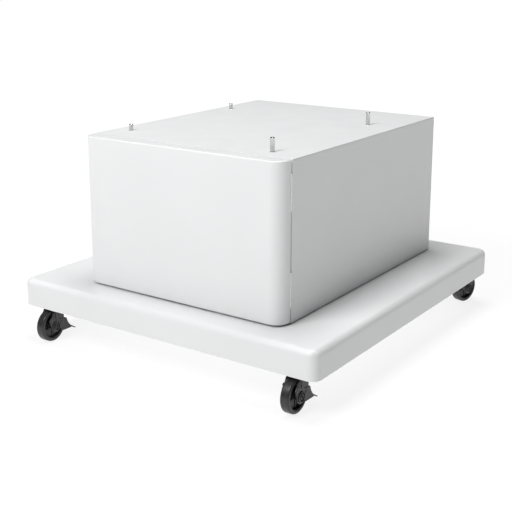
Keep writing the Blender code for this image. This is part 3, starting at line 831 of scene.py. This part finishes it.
# ---- cabinet
@dataclass
class Cabinet:
    """The sheet-metal carcass and what is fixed to it."""

    sheet: float = 0.0012
    bend: float = 0.0017
    edge_radius: float = 0.00025
    top_edge_radius: float = 0.0009
    pin_chamfer: float = 0.0008
    pin_groove: float = 0.0003
    pin_collar: float = 0.003
    pin_softness: float = 0.0001
    long_edge: float = 0.1
    leaf_edge: float = 0.00012
    hinge_stem: float = 0.00078
    hinge_head: float = 0.001
    catch_edge: float = 0.0011
    catch_inset: tuple[float, float, float] = (0.0026, 0, 0.006)
    pocket_depth: float = 0.0016
    pole: float = 0.0012
    block_angle: float = 40

    def sheets(self) -> None:
        """Makes the folded side sheets and the floor pan."""
        for node in ("cabinet_side_left", "cabinet_side_right", "cabinet_floor"):
            sheet = folded(f"{node}_sheet", node, self.bend, self.sheet, self.edge_radius)
            hand_over(sheet, "stand", ENAMEL, node)

    def covers(self) -> None:
        """Makes the top and the back, eased where their outer faces end."""
        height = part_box("cabinet_top")[1].z - SEAM
        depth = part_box("cabinet_back")[1].y - SEAM
        outer_edges = {
            "top": lambda edge: edge_middle(edge).z > height and edge.calc_length() > self.long_edge,
            "back": lambda edge: edge_middle(edge).y > depth,
        }
        for cover, outer in outer_edges.items():
            sheet = from_node(f"{cover}_sheet", f"cabinet_{cover}")
            round_over(
                sheet, lambda edge, outer=outer: outer(edge) and is_corner(edge), self.top_edge_radius
            )
            crease_over(sheet, self.edge_radius)
            hand_over(sheet, "stand", ENAMEL, f"cabinet_{cover}")

    def pins(self) -> None:
        """Turns the four locating pins, each with a chamfered nose and a relief at its collar."""
        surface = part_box("cabinet_top")[1].z
        for corner in Corner:
            node = f"locating_pin_{corner.value}"
            low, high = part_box(node)
            middle = (low + high) / 2
            collar = (high.x - low.x) / 2
            radius = collar / 2
            foot, shoulder = low.z, low.z + self.pin_collar
            nose = high.z - self.pin_chamfer
            groove, soft = self.pin_groove, self.pin_softness
            profile = [
                (0, high.z),
                (radius - self.pin_chamfer - 2 * soft, high.z),
                (radius - self.pin_chamfer, high.z - soft),
                (radius - soft, nose),
                (radius, nose - 2 * soft),
                (radius, surface + 4 * groove),
                (radius - groove, surface + 3 * groove),
                (radius - groove, surface + groove),
                (radius, surface),
                (radius, shoulder),
                (collar - groove, shoulder),
                (collar, shoulder - groove),
                (collar, foot + groove),
                (collar - groove, foot),
                (0, foot),
            ]
            pin = turned(f"pin_{corner.value}", profile, 48, Axis.Z, (middle.x, middle.y, 0))
            hand_over(pin, "stand", NICKEL, node)

    def hinges(self) -> None:
        """Makes both butt hinges, with their edges eased and their pins domed."""
        for level in ("upper", "lower"):
            for owner, body in (("carcass", "stand"), ("door", "door")):
                node = f"hinge_{level}_{owner}_leaf"
                leaf = from_node(f"{level}_{owner}_leaf", node)
                crease_over(leaf, self.leaf_edge)
                hand_over(leaf, body, NICKEL, node)
            low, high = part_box(f"hinge_{level}_pin")
            middle = (low + high) / 2
            head = (high.x - low.x) / 2
            stem = self.hinge_stem
            tip, under = high.z, high.z - self.hinge_head
            upper = [(0, tip), (head * 0.6, tip - 0.00015), (head, tip - 0.0006), (head, under)]
            upper += [(stem, under)]
            total = low.z + high.z
            profile = upper + [(r, total - z) for r, z in reversed(upper)]
            pin = turned(f"{level}_hinge_pin", profile, 32, Axis.Z, (middle.x, middle.y, 0))
            hand_over(pin, "stand", NICKEL, f"hinge_{level}_pin")

    def catch(self) -> None:
        """Makes the magnetic catch: a rounded housing with a pocket and a pole plate at each end of
        it.
        """
        low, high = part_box("magnetic_catch")
        housing = block("catch_housing", low, high)
        crease_over(housing, self.catch_edge, 4, self.block_angle)
        inset = Vector(self.catch_inset)
        face = low.y
        pocket = block(
            "pocket",
            Vector((low.x, face - 0.01, low.z)) + inset,
            Vector((high.x, face + self.pocket_depth, high.z)) - inset,
        )
        combine(housing, [pocket], Join.CUT)
        hand_over(housing, "stand", BLACK_NYLON, "magnetic_catch")
        for number, offset in enumerate((0.0, high.x - low.x - 2 * inset.x - self.pole)):
            left = low.x + inset.x + offset
            plate = block(
                f"catch_pole_{number}",
                Vector((left, face + SEAM, low.z + inset.z + SEAM)),
                Vector((left + self.pole, face + self.pocket_depth, high.z - inset.z - SEAM)),
            )
            crease_over(plate, SEAM, 2, self.block_angle)
            hand_over(plate, "stand", NICKEL)

    def bumpers(self) -> None:
        """Turns the two soft bumpers as low domes."""
        for level in ("upper", "lower"):
            low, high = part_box(f"door_bumper_{level}")
            middle = (low + high) / 2
            radius = (high.x - low.x) / 2
            depth = high.y - low.y
            profile = [(0, 0), *((radius * r, -depth * h) for r, h in BUMPER_DOME)]
            dome = turned(f"bumper_{level}", profile, 40, Axis.Y, (middle.x, high.y, middle.z))
            hand_over(dome, "stand", TYRE_SKIN, f"door_bumper_{level}")

    def build(self) -> None:
        """Makes and dresses the cabinet."""
        self.sheets()
        self.covers()
        self.pins()
        self.hinges()
        self.catch()
        self.bumpers()


# ---- door
@dataclass
class Door:
    """The door: a moulded skin with deep rounded sides and a sheet liner."""

    side_radius: float = 0.026
    edge_radius: float = 0.003
    wall: float = 0.0018
    panel_margin: float = 0.030
    panel_slope: float = 0.004
    panel_depth: float = 0.0009
    panel_rounding: float = 0.0006
    strike_corner: float = 0.003
    strike_edge: float = 0.00015
    hole_from_middle: float = 0.014
    thin_angle: float = 60

    def skin(self) -> None:
        """Makes the outer skin."""
        low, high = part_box("door_shell")
        radius = self.side_radius
        outline = [(low.x, high.y)]
        outline += arc((low.x + radius, low.y + radius), radius, 180, 270, 20)
        outline += arc((high.x - radius, low.y + radius), radius, 270, 360, 20)
        outline += [(high.x, high.y)]
        skin = outline_plate("door_skin", outline, low.z, high.z, Axis.Z)
        with editing(skin):
            pick(skin, "FACE", lambda face: face.normal.y > FACING)
            bpy.ops.mesh.delete(type="ONLY_FACE")
        round_over(
            skin,
            lambda edge: abs(edge.verts[0].co.z - edge.verts[1].co.z) < SEAM
            and len(edge.link_faces) == 2,
            self.edge_radius,
            6,
        )
        hollow(skin, self.wall)
        hand_over(skin, "door", MOULDING, "door_shell")

    def liner(self) -> None:
        """Makes the sheet that closes the door's back, pressed with a shallow stiffening panel."""
        low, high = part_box("door_liner")
        liner = block("door_liner_sheet", low, high)
        with editing(liner):
            pick(liner, "FACE", lambda face: face.normal.y > FACING)
            bpy.ops.mesh.inset(thickness=self.panel_margin)
            bpy.ops.mesh.inset(thickness=self.panel_slope)
            bpy.ops.transform.translate(value=(0, -self.panel_depth, 0))
        round_over(
            liner,
            lambda edge: edge_middle(edge).y > low.y + SEAM
            and low.x + SEAM < edge_middle(edge).x < high.x - SEAM
            and low.z + SEAM < edge_middle(edge).z < high.z - SEAM
            and edge.calc_face_angle(0) > 0.05,
            self.panel_rounding,
            3,
        )
        crease_over(liner, SEAM, 2, self.thin_angle)
        hand_over(liner, "door", ENAMEL, "door_liner")

    def strike(self) -> None:
        """Makes the strike plate: rounded corners and a countersunk hole at each end."""
        low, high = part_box("strike_plate")
        plate = block("strike", low, high)
        round_over(plate, lambda edge: edge_runs(edge, Axis.Y), self.strike_corner, 6)
        middle = (low + high) / 2
        holes = []
        for end in (-1, 1):
            centre = (middle.x, low.y, middle.z + end * self.hole_from_middle)
            holes.append(turned("countersink", COUNTERSINK, 32, Axis.Y, centre))
        combine(plate, holes, Join.CUT)
        crease_over(plate, self.strike_edge, 2, self.thin_angle)
        hand_over(plate, "door", NICKEL, "strike_plate")

    def build(self) -> None:
        """Makes and dresses the door."""
        self.skin()
        self.liner()
        self.strike()


# ---- casters
@dataclass
class Caster:
    """One swivel caster, modelled about its own swivel axis and then turned to its heading.

    Locally the axle lies along X, +Y is behind the wheel and the floor is at 0.
    """

    corner: Corner
    foot_radius: float = 0.0125
    leg_front: float = 0.0005
    leg_neck: Point = (0.009, 0.020)
    leg_knee: Point = (0.016, 0.0135)
    leg_shin: Point = (0.0155, 0.0095)
    leg_back: float = 0.023
    leg_heel: float = 0.006
    leg_thickness: float = 0.0028
    bolt_radius: float = 0.0054
    recess_radius: float = 0.0078
    bolt_head: float = 0.002
    bolt_clearance: float = 0.0003
    bolt_play: float = 0.0001
    socket_radius: float = 0.0026
    socket_depth: float = 0.0011
    foot_arc: Point = (175, 325)
    foot_tail: Point = (1.25, 0.1)
    leg_rounding: float = 0.0009
    crown_thickness: float = 0.0025
    crown_rounding: float = 0.0008
    boss_rounding: float = 0.0006
    ring: Point = (0.0095, 0.0027)
    pip: Point = (0.0034, 0.0018)
    pip_place: Point = (-0.009, 0.0175)
    rib_drop: float = 0.003
    rib_root: float = 0.0005
    rib_height: float = 0.0009
    hub_radius: float = 0.007
    hub_draft: Point = (0.0006, 0.0016)
    bore_radius: float = 0.0041
    rim_depth: float = 0.0024
    rim_inset: float = 0.0008
    dish_draft: tuple[float, ...] = (-0.0012, -0.0002, 0.0008, 0.0014)
    web: float = 0.0018
    lip: float = 0.0007
    tread_rounding: float = 0.003
    tread_band: float = 0.4
    sidewall_ring: float = 0.0011
    sidewall_groove: float = 0.0005
    spokes: int = 5
    spoke_half: float = 0.0008
    spoke_inset: float = 0.0046
    pivot_back: float = 0.0155
    pivot_rise: float = 0.0025
    pivot_end: float = 0.0093
    pivot_radius: float = 0.0025
    pivot_cap: Point = (0.0036, 0.0014)
    pivot_lug: Point = (0.005, 0.004)
    pedal_thickness: float = 0.002
    pedal_bore: float = 0.0027
    pedal_steps: int = 20
    tread_root: Point = (0.0022, 0.006)
    tread_bend: Point = (0.005, 0.007)
    cheek_thickness: float = 0.0022
    cheek_nose: tuple[Point, ...] = ((-0.003, -0.0035), (-0.0035, 0.003), (-0.001, 0.0046))
    cheek_under: tuple[Point, ...] = ((0.0115, 0.003), (0.001, 0.004))
    grip_steps: tuple[int, ...] = (13, 15, 17)
    grip_low: tuple[float, float, float] = (0.002, -0.0006, -0.0012)
    grip_high: tuple[float, float, float] = (-0.002, 0.0006, 0.0007)
    shoe_depth: Point = (0.0005, 0.0033)
    shoe_drop: Point = (0.0056, 0.0128)
    plate_corner: float = 0.004
    plate_edge: float = 0.0004
    kingpin_edge: float = 0.0003
    heading: float = field(init=False)
    swivel: Vector = field(init=False)
    axle: Vector = field(init=False)

    def __post_init__(self) -> None:
        """Reads the caster's place and heading from the frame's joints."""
        roll = joint(f"wheel_{self.name}_roll")
        self.swivel = Vector(joint(f"swivel_{self.name}_turn")["pos_m"])
        self.swivel.z = 0
        self.heading = math.atan2(roll["axis"][1], roll["axis"][0])
        reach = Vector(roll["pos_m"]) - self.swivel
        self.axle = Vector((0, -reach.xy.length, reach.z))

    @property
    def name(self) -> str:
        """The corner's name, as the frame spells it."""
        return self.corner.value

    @property
    def braked(self) -> bool:
        """Whether this caster has a brake pedal."""
        return f"brake_pedal_{self.name}" in frame["nodes"]

    @property
    def leg_outer(self) -> float:
        """How far the outside of each fork leg is from the wheel's middle."""
        return self.reach("axle")[1].x - self.bolt_head - self.bolt_clearance

    def node(self, part: str) -> str:
        """The name of this caster's CAD node for a part such as "tyre"."""
        return f"{part}_{self.name}" if part == "brake_pedal" else f"caster_{self.name}_{part}"

    def reach(self, part: str) -> tuple[Vector, Vector]:
        """A CAD node's lowest and highest corners, measured in the caster's own directions.

        Args:
            part: The node's name without its corner, such as "tyre".

        Returns:
            The two corners, from the swivel axis.
        """
        back = Matrix.Rotation(-self.heading, 3, "Z")
        vertices = frame["nodes"][self.node(part)].data.vertices
        spots = [back @ (vertex.co - self.swivel) for vertex in vertices]
        low = Vector([min(spot[axis] for spot in spots) for axis in range(3)])
        high = Vector([max(spot[axis] for spot in spots) for axis in range(3)])
        return low, high

    def set_down(self, piece: Piece) -> Piece:
        """Turns a piece to the caster's heading and moves it under the base."""
        piece.rotation_euler.z = self.heading
        piece.location = self.swivel
        return seat(piece)

    def fit(self, piece: Piece, body: str, finish: Finish, part: str) -> None:
        """Sets a finished piece down and hands it over under this caster's names.

        Args:
            piece: The piece, in the caster's own directions.
            body: The kind of body that it moves with.
            finish: What it is made of.
            part: The CAD part that it stands for.
        """
        hand_over(self.set_down(piece), f"{body}_{self.name}", finish, self.node(part))

    def tyre(self) -> None:
        """Makes the tyre: round shoulders, a ringed sidewall and a flat tread."""
        low, high = self.reach("tyre")
        half, radius = high.x, (high.z - low.z) / 2
        inner = self.reach("wheel")[1].z - self.axle.z + SEAM
        round_by = self.tread_rounding
        ring, groove = inner + self.sidewall_ring, self.sidewall_groove
        half_profile = [
            (inner, half - groove),
            (ring, half - groove),
            (ring + groove, half),
            *arc((radius - round_by, half - round_by), round_by, 90, 4, 8),
            (radius, half * self.tread_band),
            (radius, groove / 2),
        ]
        tyre = turned(f"tyre_{self.name}", mirrored(half_profile), 96, Axis.X, self.axle)
        self.fit(tyre, "roller", TYRE_SKIN, "tyre")

    def wheel(self) -> None:
        """Makes the wheel centre: a deep dish on both sides with a hub and spokes."""
        _, high = self.reach("wheel")
        hub_half, rim_radius = high.x, high.z - self.axle.z
        half = self.reach("tyre")[1].x - self.rim_inset
        web, lip, hub = self.web, self.lip, self.hub_radius
        dish = rim_radius - self.rim_depth
        floor, foot, shoulder, mouth = (dish + step for step in self.dish_draft)
        half_profile = [
            (self.bore_radius, hub_half),
            (hub - lip, hub_half),
            (hub, hub_half - lip),
            (hub + self.hub_draft[0], web + lip),
            (hub + self.hub_draft[1], web),
            (floor, web),
            (foot, web + lip),
            (shoulder, half - lip),
            (mouth, half),
            (rim_radius - lip, half),
            (rim_radius, half - lip),
        ]
        wheel = turned(f"wheel_centre_{self.name}", mirrored(half_profile), 72, Axis.X)
        spokes = []
        for step in range(self.spokes):
            spoke = block(
                "spoke",
                Vector((-half + self.spoke_inset, -self.spoke_half, hub - lip)),
                Vector((half - self.spoke_inset, self.spoke_half, dish + lip)),
            )
            spoke.rotation_euler.x = math.tau * (step + 0.5) / self.spokes
            spokes.append(seat(spoke))
        combine(wheel, spokes, Join.WELD)
        wheel.location = self.axle
        self.fit(seat(wheel), "roller", BLACK_NYLON, "wheel")

    def bolt(self) -> None:
        """Makes the axle bolt: a shaft with a domed head at each end and a hexagon socket."""
        seat_at = self.leg_outer + self.bolt_clearance
        end = self.reach("axle")[1].x
        thick = end - seat_at
        dome = [(self.bolt_radius * r, end - thick * h) for r, h in BOLT_DOME]
        dome.append((self.bore_radius - self.bolt_play, seat_at))
        bolt = turned(f"axle_bolt_{self.name}", mirrored(dome), 48, Axis.X)
        hexagon = arc((0, 0), self.socket_radius, 0, 300, 5)
        bottom = end - self.socket_depth
        sockets = [
            outline_plate("socket", hexagon, side * bottom, side * 2 * end, Axis.X)
            for side in (-1, 1)
        ]
        combine(bolt, sockets, Join.CUT)
        bolt.location = self.axle
        self.fit(seat(bolt), "swivel", BLACK_ZINC, "axle")

    def leg_outline(self, top: float) -> list[Point]:
        """The fork leg seen from the side.

        Args:
            top: The height of its upper end.

        Returns:
            Its (y, z) points.
        """
        middle, height = self.axle.y, self.axle.z
        outline = [(middle + self.leg_back, top), (middle - self.leg_front, top)]
        edge = (self.leg_neck, self.leg_knee, self.leg_shin)
        outline += [(middle - ahead, height + above) for ahead, above in edge]
        outline += arc((middle, height), self.foot_radius, *self.foot_arc, 16)
        if self.braked:
            back, below = self.pivot_lug
            outline.append((middle + self.pivot_back + back, height + self.pivot_rise - below))
        else:
            back, below = self.foot_tail
            outline.append((middle + self.foot_radius * back, height - self.foot_radius * below))
        outline.append((middle + self.leg_back, height + self.leg_heel))
        return outline

    def fork(self) -> None:
        """Makes the fork: a yoke over the wheel, two legs with round feet, and the crown."""
        _, high = self.reach("fork")
        top, outer = high.z - SEAM, self.leg_outer
        inner = outer - self.leg_thickness
        crown_under = top - self.crown_thickness
        fork = outline_plate(f"fork_{self.name}", self.leg_outline(top), -outer, outer, Axis.X)
        round_over(
            fork,
            lambda edge: abs(abs(edge_middle(edge).x) - outer) < SEAM
            and not edge_runs(edge, Axis.X)
            and edge_middle(edge).z < top - SEAM,
            self.leg_rounding,
            3,
        )
        clear = Vector((inner, 0, 0))
        slot = block("slot", -clear - SLOT_REACH, clear + Vector((0, SLOT_REACH.y, crown_under)))
        combine(fork, [slot], Join.CUT)
        crown_radius, rounding = high.y, self.crown_rounding
        crown = turned(
            "crown",
            [
                (0, top),
                (crown_radius - rounding, top),
                (crown_radius, top - rounding),
                (crown_radius, crown_under + rounding),
                (crown_radius - rounding, crown_under),
                (0, crown_under),
            ],
            64,
        )
        rings = []
        for side in (-1, 1):
            face = side * (outer - self.boss_rounding)
            pip = self.axle.yz + Vector(self.pip_place)
            rings.append(self.boss(self.axle.yz, self.ring[0], face, side * self.ring[1]))
            rings.append(self.boss(pip, self.pip[0], face, side * self.pip[1]))
            rings.append(self.rib(side, outer, top))
            if self.braked:
                pivot = self.axle.yz + Vector((self.pivot_back, self.pivot_rise))
                start = inner + self.leg_thickness / 4
                inward = self.pivot_end - start
                radius, height = self.pivot_cap
                rings.append(self.boss(pivot, self.pivot_radius, side * start, side * inward))
                rings.append(self.boss(pivot, radius, face, side * height))
        combine(fork, [crown, *rings], Join.WELD)
        holes = []
        for side in (-1, 1):
            far, near = side * self.reach("axle")[1].x * 2, side * (outer + SEAM / 2)
            recess = [(0, far), (self.recess_radius, far), (self.recess_radius, near), (0, near)]
            holes.append(turned("recess", recess, 48, Axis.X, self.axle))
        bore = bore_profile(self.bore_radius)
        holes.append(turned("axle bore", bore, 48, Axis.X, self.axle))
        holes.append(turned("kingpin bore", bore, 48, Axis.Z, (0, 0, top)))
        combine(fork, holes, Join.CUT)
        self.fit(fork, "swivel", FORK_NYLON, "fork")

    def boss(self, spot: Vector, radius: float, face: float, height: float) -> Piece:
        """A round boss on the outside of a fork leg.

        Args:
            spot: Its (y, z) middle.
            radius: Its radius.
            face: The X it starts from.
            height: How far it stands out, negative on the left leg.

        Returns:
            The boss.
        """
        rounding = self.boss_rounding
        end = face + height
        soft = end - math.copysign(rounding, height)
        profile = [(0, face), (radius, face), (radius, soft), (radius - rounding, end), (0, end)]
        return turned("boss", profile, 40, Axis.X, (0, spot.x, spot.y))

    def rib(self, side: int, outer: float, top: float) -> Piece:
        """A stiffening rib down the middle of a fork leg and back to its rear edge.

        Args:
            side: -1 for the left leg, 1 for the right.
            outer: The leg's outer X.
            top: The height of the leg's upper end.

        Returns:
            The rib.
        """
        middle, height = self.axle.y, self.axle.z
        drop = top - self.rib_drop
        path = [(middle + back, height + above) for back, above in RIB_PATH]
        outline = [(path[-1][0], drop), (path[0][0], drop), *path]
        start, end = sorted((side * (outer - self.rib_root), side * (outer + self.rib_height)))
        return outline_plate("rib", outline, start, end, Axis.X)

    def pedal(self) -> None:
        """Makes the brake pedal: a curved tread with side cheeks, grip bars and the shoe."""
        low, high = self.reach("brake_pedal")
        outer = high.x
        middle = self.axle.y
        tip = Vector((high.y, low.z + self.pedal_thickness + SEAM))
        pivot = Vector((middle + self.pivot_back, self.axle.z + self.pivot_rise))
        radius = self.reach("tyre")[1].z / 2
        behind = middle + radius
        root = Vector((behind, self.axle.z)) + Vector(self.tread_root)
        bend = Vector((root.x, tip.y)) + Vector(self.tread_bend)
        upper = []
        for step in range(self.pedal_steps + 1):
            t = step / self.pedal_steps
            upper.append(tuple((1 - t) ** 2 * root + 2 * t * (1 - t) * bend + t**2 * tip))
        lower = [(y, z - self.pedal_thickness) for y, z in reversed(upper)]
        pedal = outline_plate(f"pedal_{self.name}", upper + lower, -outer + SEAM, outer - SEAM, Axis.X)
        cheek_inner = outer - self.cheek_thickness
        under, front, over = (pivot + Vector(point) for point in self.cheek_nose)
        heel, belly = self.cheek_under
        cheek = [
            tuple(front),
            tuple(over),
            (root.x, root.y - SEAM),
            *[(y, z - self.pedal_thickness / 2) for y, z in upper[2:14:2]],
            (root.x + heel[0], tip.y + heel[1]),
            (pivot.x + belly[0], tip.y + belly[1]),
            tuple(under),
        ]
        tools = []
        for side in (-1, 1):
            start, end = sorted((side * cheek_inner, side * outer))
            tools.append(outline_plate("cheek", cheek, start, end, Axis.X))
        for y, z in (upper[step] for step in self.grip_steps):
            low_end = Vector((-outer, y, z)) + Vector(self.grip_low)
            high_end = Vector((outer, y, z)) + Vector(self.grip_high)
            tools.append(block("grip bar", low_end, high_end))
        face, back = (behind + depth for depth in self.shoe_depth)
        brim, sole = (self.axle.z - drop for drop in self.shoe_drop)
        shoe = [(face, brim), (back, brim), (back, sole), (face, sole)]
        tools.append(outline_plate("shoe", shoe, -outer + 2 * SEAM, outer - 2 * SEAM, Axis.X))
        combine(pedal, tools, Join.WELD)
        bore = turned("bore", bore_profile(self.pedal_bore), 32, Axis.X, (0, *pivot))
        combine(pedal, [bore], Join.CUT)
        self.fit(pedal, "pedal", BLACK_NYLON, "brake_pedal")

    def top_plate(self) -> None:
        """Makes the mounting plate with its bearing race, edges eased, and the kingpin."""
        plate = from_node(f"mount_plate_{self.name}", f"caster_{self.name}_plate")
        round_over(
            plate, lambda edge: edge_runs(edge, Axis.Z) and is_corner(edge), self.plate_corner, 6
        )
        crease_over(plate, self.plate_edge)
        hand_over(plate, "stand", BLACK_ZINC, f"caster_{self.name}_plate")
        pin = from_node(f"kingpin_{self.name}", f"caster_{self.name}_kingpin")
        crease_over(pin, self.kingpin_edge)
        hand_over(pin, "stand", BLACK_ZINC, f"caster_{self.name}_kingpin")

    def build(self) -> None:
        """Makes and dresses the caster."""
        self.tyre()
        self.wheel()
        self.bolt()
        self.fork()
        if self.braked:
            self.pedal()
        self.top_plate()


# ---- studio
@dataclass
class Studio:
    """A pale floor, soft light and the camera."""

    eye: tuple[float, float, float] = (1.077, -1.594, 0.7203)
    yaw: float = 34.69
    pitch: float = 14.0
    lens: float = 69.9
    shift: float = -0.1
    sensor: float = 36.0
    aim: tuple[float, float, float] = (0, 0, 0.2)
    ambient: float = 0.02
    floor_radius: float = 30.0
    floor_shade: float = 0.18
    floor_roughness: float = 0.8
    floor_sheen: float = 0.1
    floor_glow: float = 0.85
    fade_start: float = 0.8
    fade_end: float = 2.4

    def camera(self) -> None:
        """Places the camera."""
        data = bpy.data.cameras.new("camera")
        data.sensor_width = self.sensor
        data.lens = self.lens
        data.shift_y = self.shift
        camera = bpy.data.objects.new("camera", data)
        camera.location = self.eye
        camera.rotation_euler = (math.radians(90 - self.pitch), 0, math.radians(self.yaw))
        bpy.context.scene.collection.objects.link(camera)
        bpy.context.scene.camera = camera

    def floor(self) -> None:
        """Lays a round floor that fades to the backdrop's white far from the object."""
        put_down_everything()
        bpy.ops.mesh.primitive_circle_add(vertices=96, radius=self.floor_radius, fill_type="NGON")
        floor = bpy.context.object
        floor.name = "studio_floor"
        material = bpy.data.materials.new("pale_floor")
        material.use_nodes = True
        shader = material.node_tree.nodes["Principled BSDF"]
        shader.inputs["Base Color"].default_value = (*[self.floor_shade] * 3, 1)
        shader.inputs["Roughness"].default_value = self.floor_roughness
        shader.inputs["Specular IOR Level"].default_value = self.floor_sheen
        shader.inputs["Emission Color"].default_value = (1, 1, 1, 1)
        tree = material.node_tree
        reach = tree.nodes.new("ShaderNodeVectorMath")
        reach.operation = "LENGTH"
        tree.links.new(tree.nodes.new("ShaderNodeTexCoord").outputs["Object"], reach.inputs[0])
        span = {"From Min": self.fade_start, "From Max": self.fade_end}
        span |= {"To Min": self.floor_glow, "To Max": 1.0}
        fade = add_node(tree, "ShaderNodeMapRange", span)
        tree.links.new(reach.outputs["Value"], fade.inputs["Value"])
        tree.links.new(fade.outputs["Result"], shader.inputs["Emission Strength"])
        floor.data.materials.append(material)

    def backdrop(self) -> None:
        """Makes the world: white to look at, and a softer fill for the light it gives."""
        world = bpy.data.worlds.new("backdrop")
        bpy.context.scene.world = world
        world.use_nodes = True
        tree = world.node_tree
        tree.nodes.clear()
        white = {"Color": (1, 1, 1, 1)}
        seen = add_node(tree, "ShaderNodeBackground", white | {"Strength": 1.0})
        fill = add_node(tree, "ShaderNodeBackground", white | {"Strength": self.ambient})
        ray = tree.nodes.new("ShaderNodeLightPath")
        mix = tree.nodes.new("ShaderNodeMixShader")
        out = tree.nodes.new("ShaderNodeOutputWorld")
        tree.links.new(ray.outputs["Is Camera Ray"], mix.inputs["Fac"])
        tree.links.new(fill.outputs["Background"], mix.inputs[1])
        tree.links.new(seen.outputs["Background"], mix.inputs[2])
        tree.links.new(mix.outputs["Shader"], out.inputs["Surface"])

    def lamp(self, name: str, place: Sequence[float], size: float, power: float) -> None:
        """Hangs a square softbox that faces the cabinet.

        Args:
            name: The lamp's name.
            place: Where it hangs.
            size: The side of the square.
            power: Its strength in watts.
        """
        data = bpy.data.lights.new(name, "AREA")
        data.shape = "SQUARE"
        data.size = size
        data.energy = power
        lamp = bpy.data.objects.new(name, data)
        lamp.location = place
        facing = Vector(self.aim) - Vector(place)
        lamp.rotation_euler = facing.to_track_quat("-Z", "Y").to_euler()
        bpy.context.scene.collection.objects.link(lamp)

    def build(self) -> None:
        """Sets up the whole studio."""
        bpy.context.scene.view_settings.view_transform = "Standard"
        self.camera()
        self.floor()
        self.backdrop()
        for lamp in LAMPS:
            self.lamp(*lamp)


def main() -> None:
    """Builds every sub-assembly in order."""
    logging.basicConfig(level=logging.INFO, format="%(name)s: %(message)s")
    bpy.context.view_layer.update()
    Studio().build()
    Base().build()
    Cabinet().build()
    Door().build()
    for corner in Corner:
        Caster(corner).build()


if __name__ == "__main__":
    main()
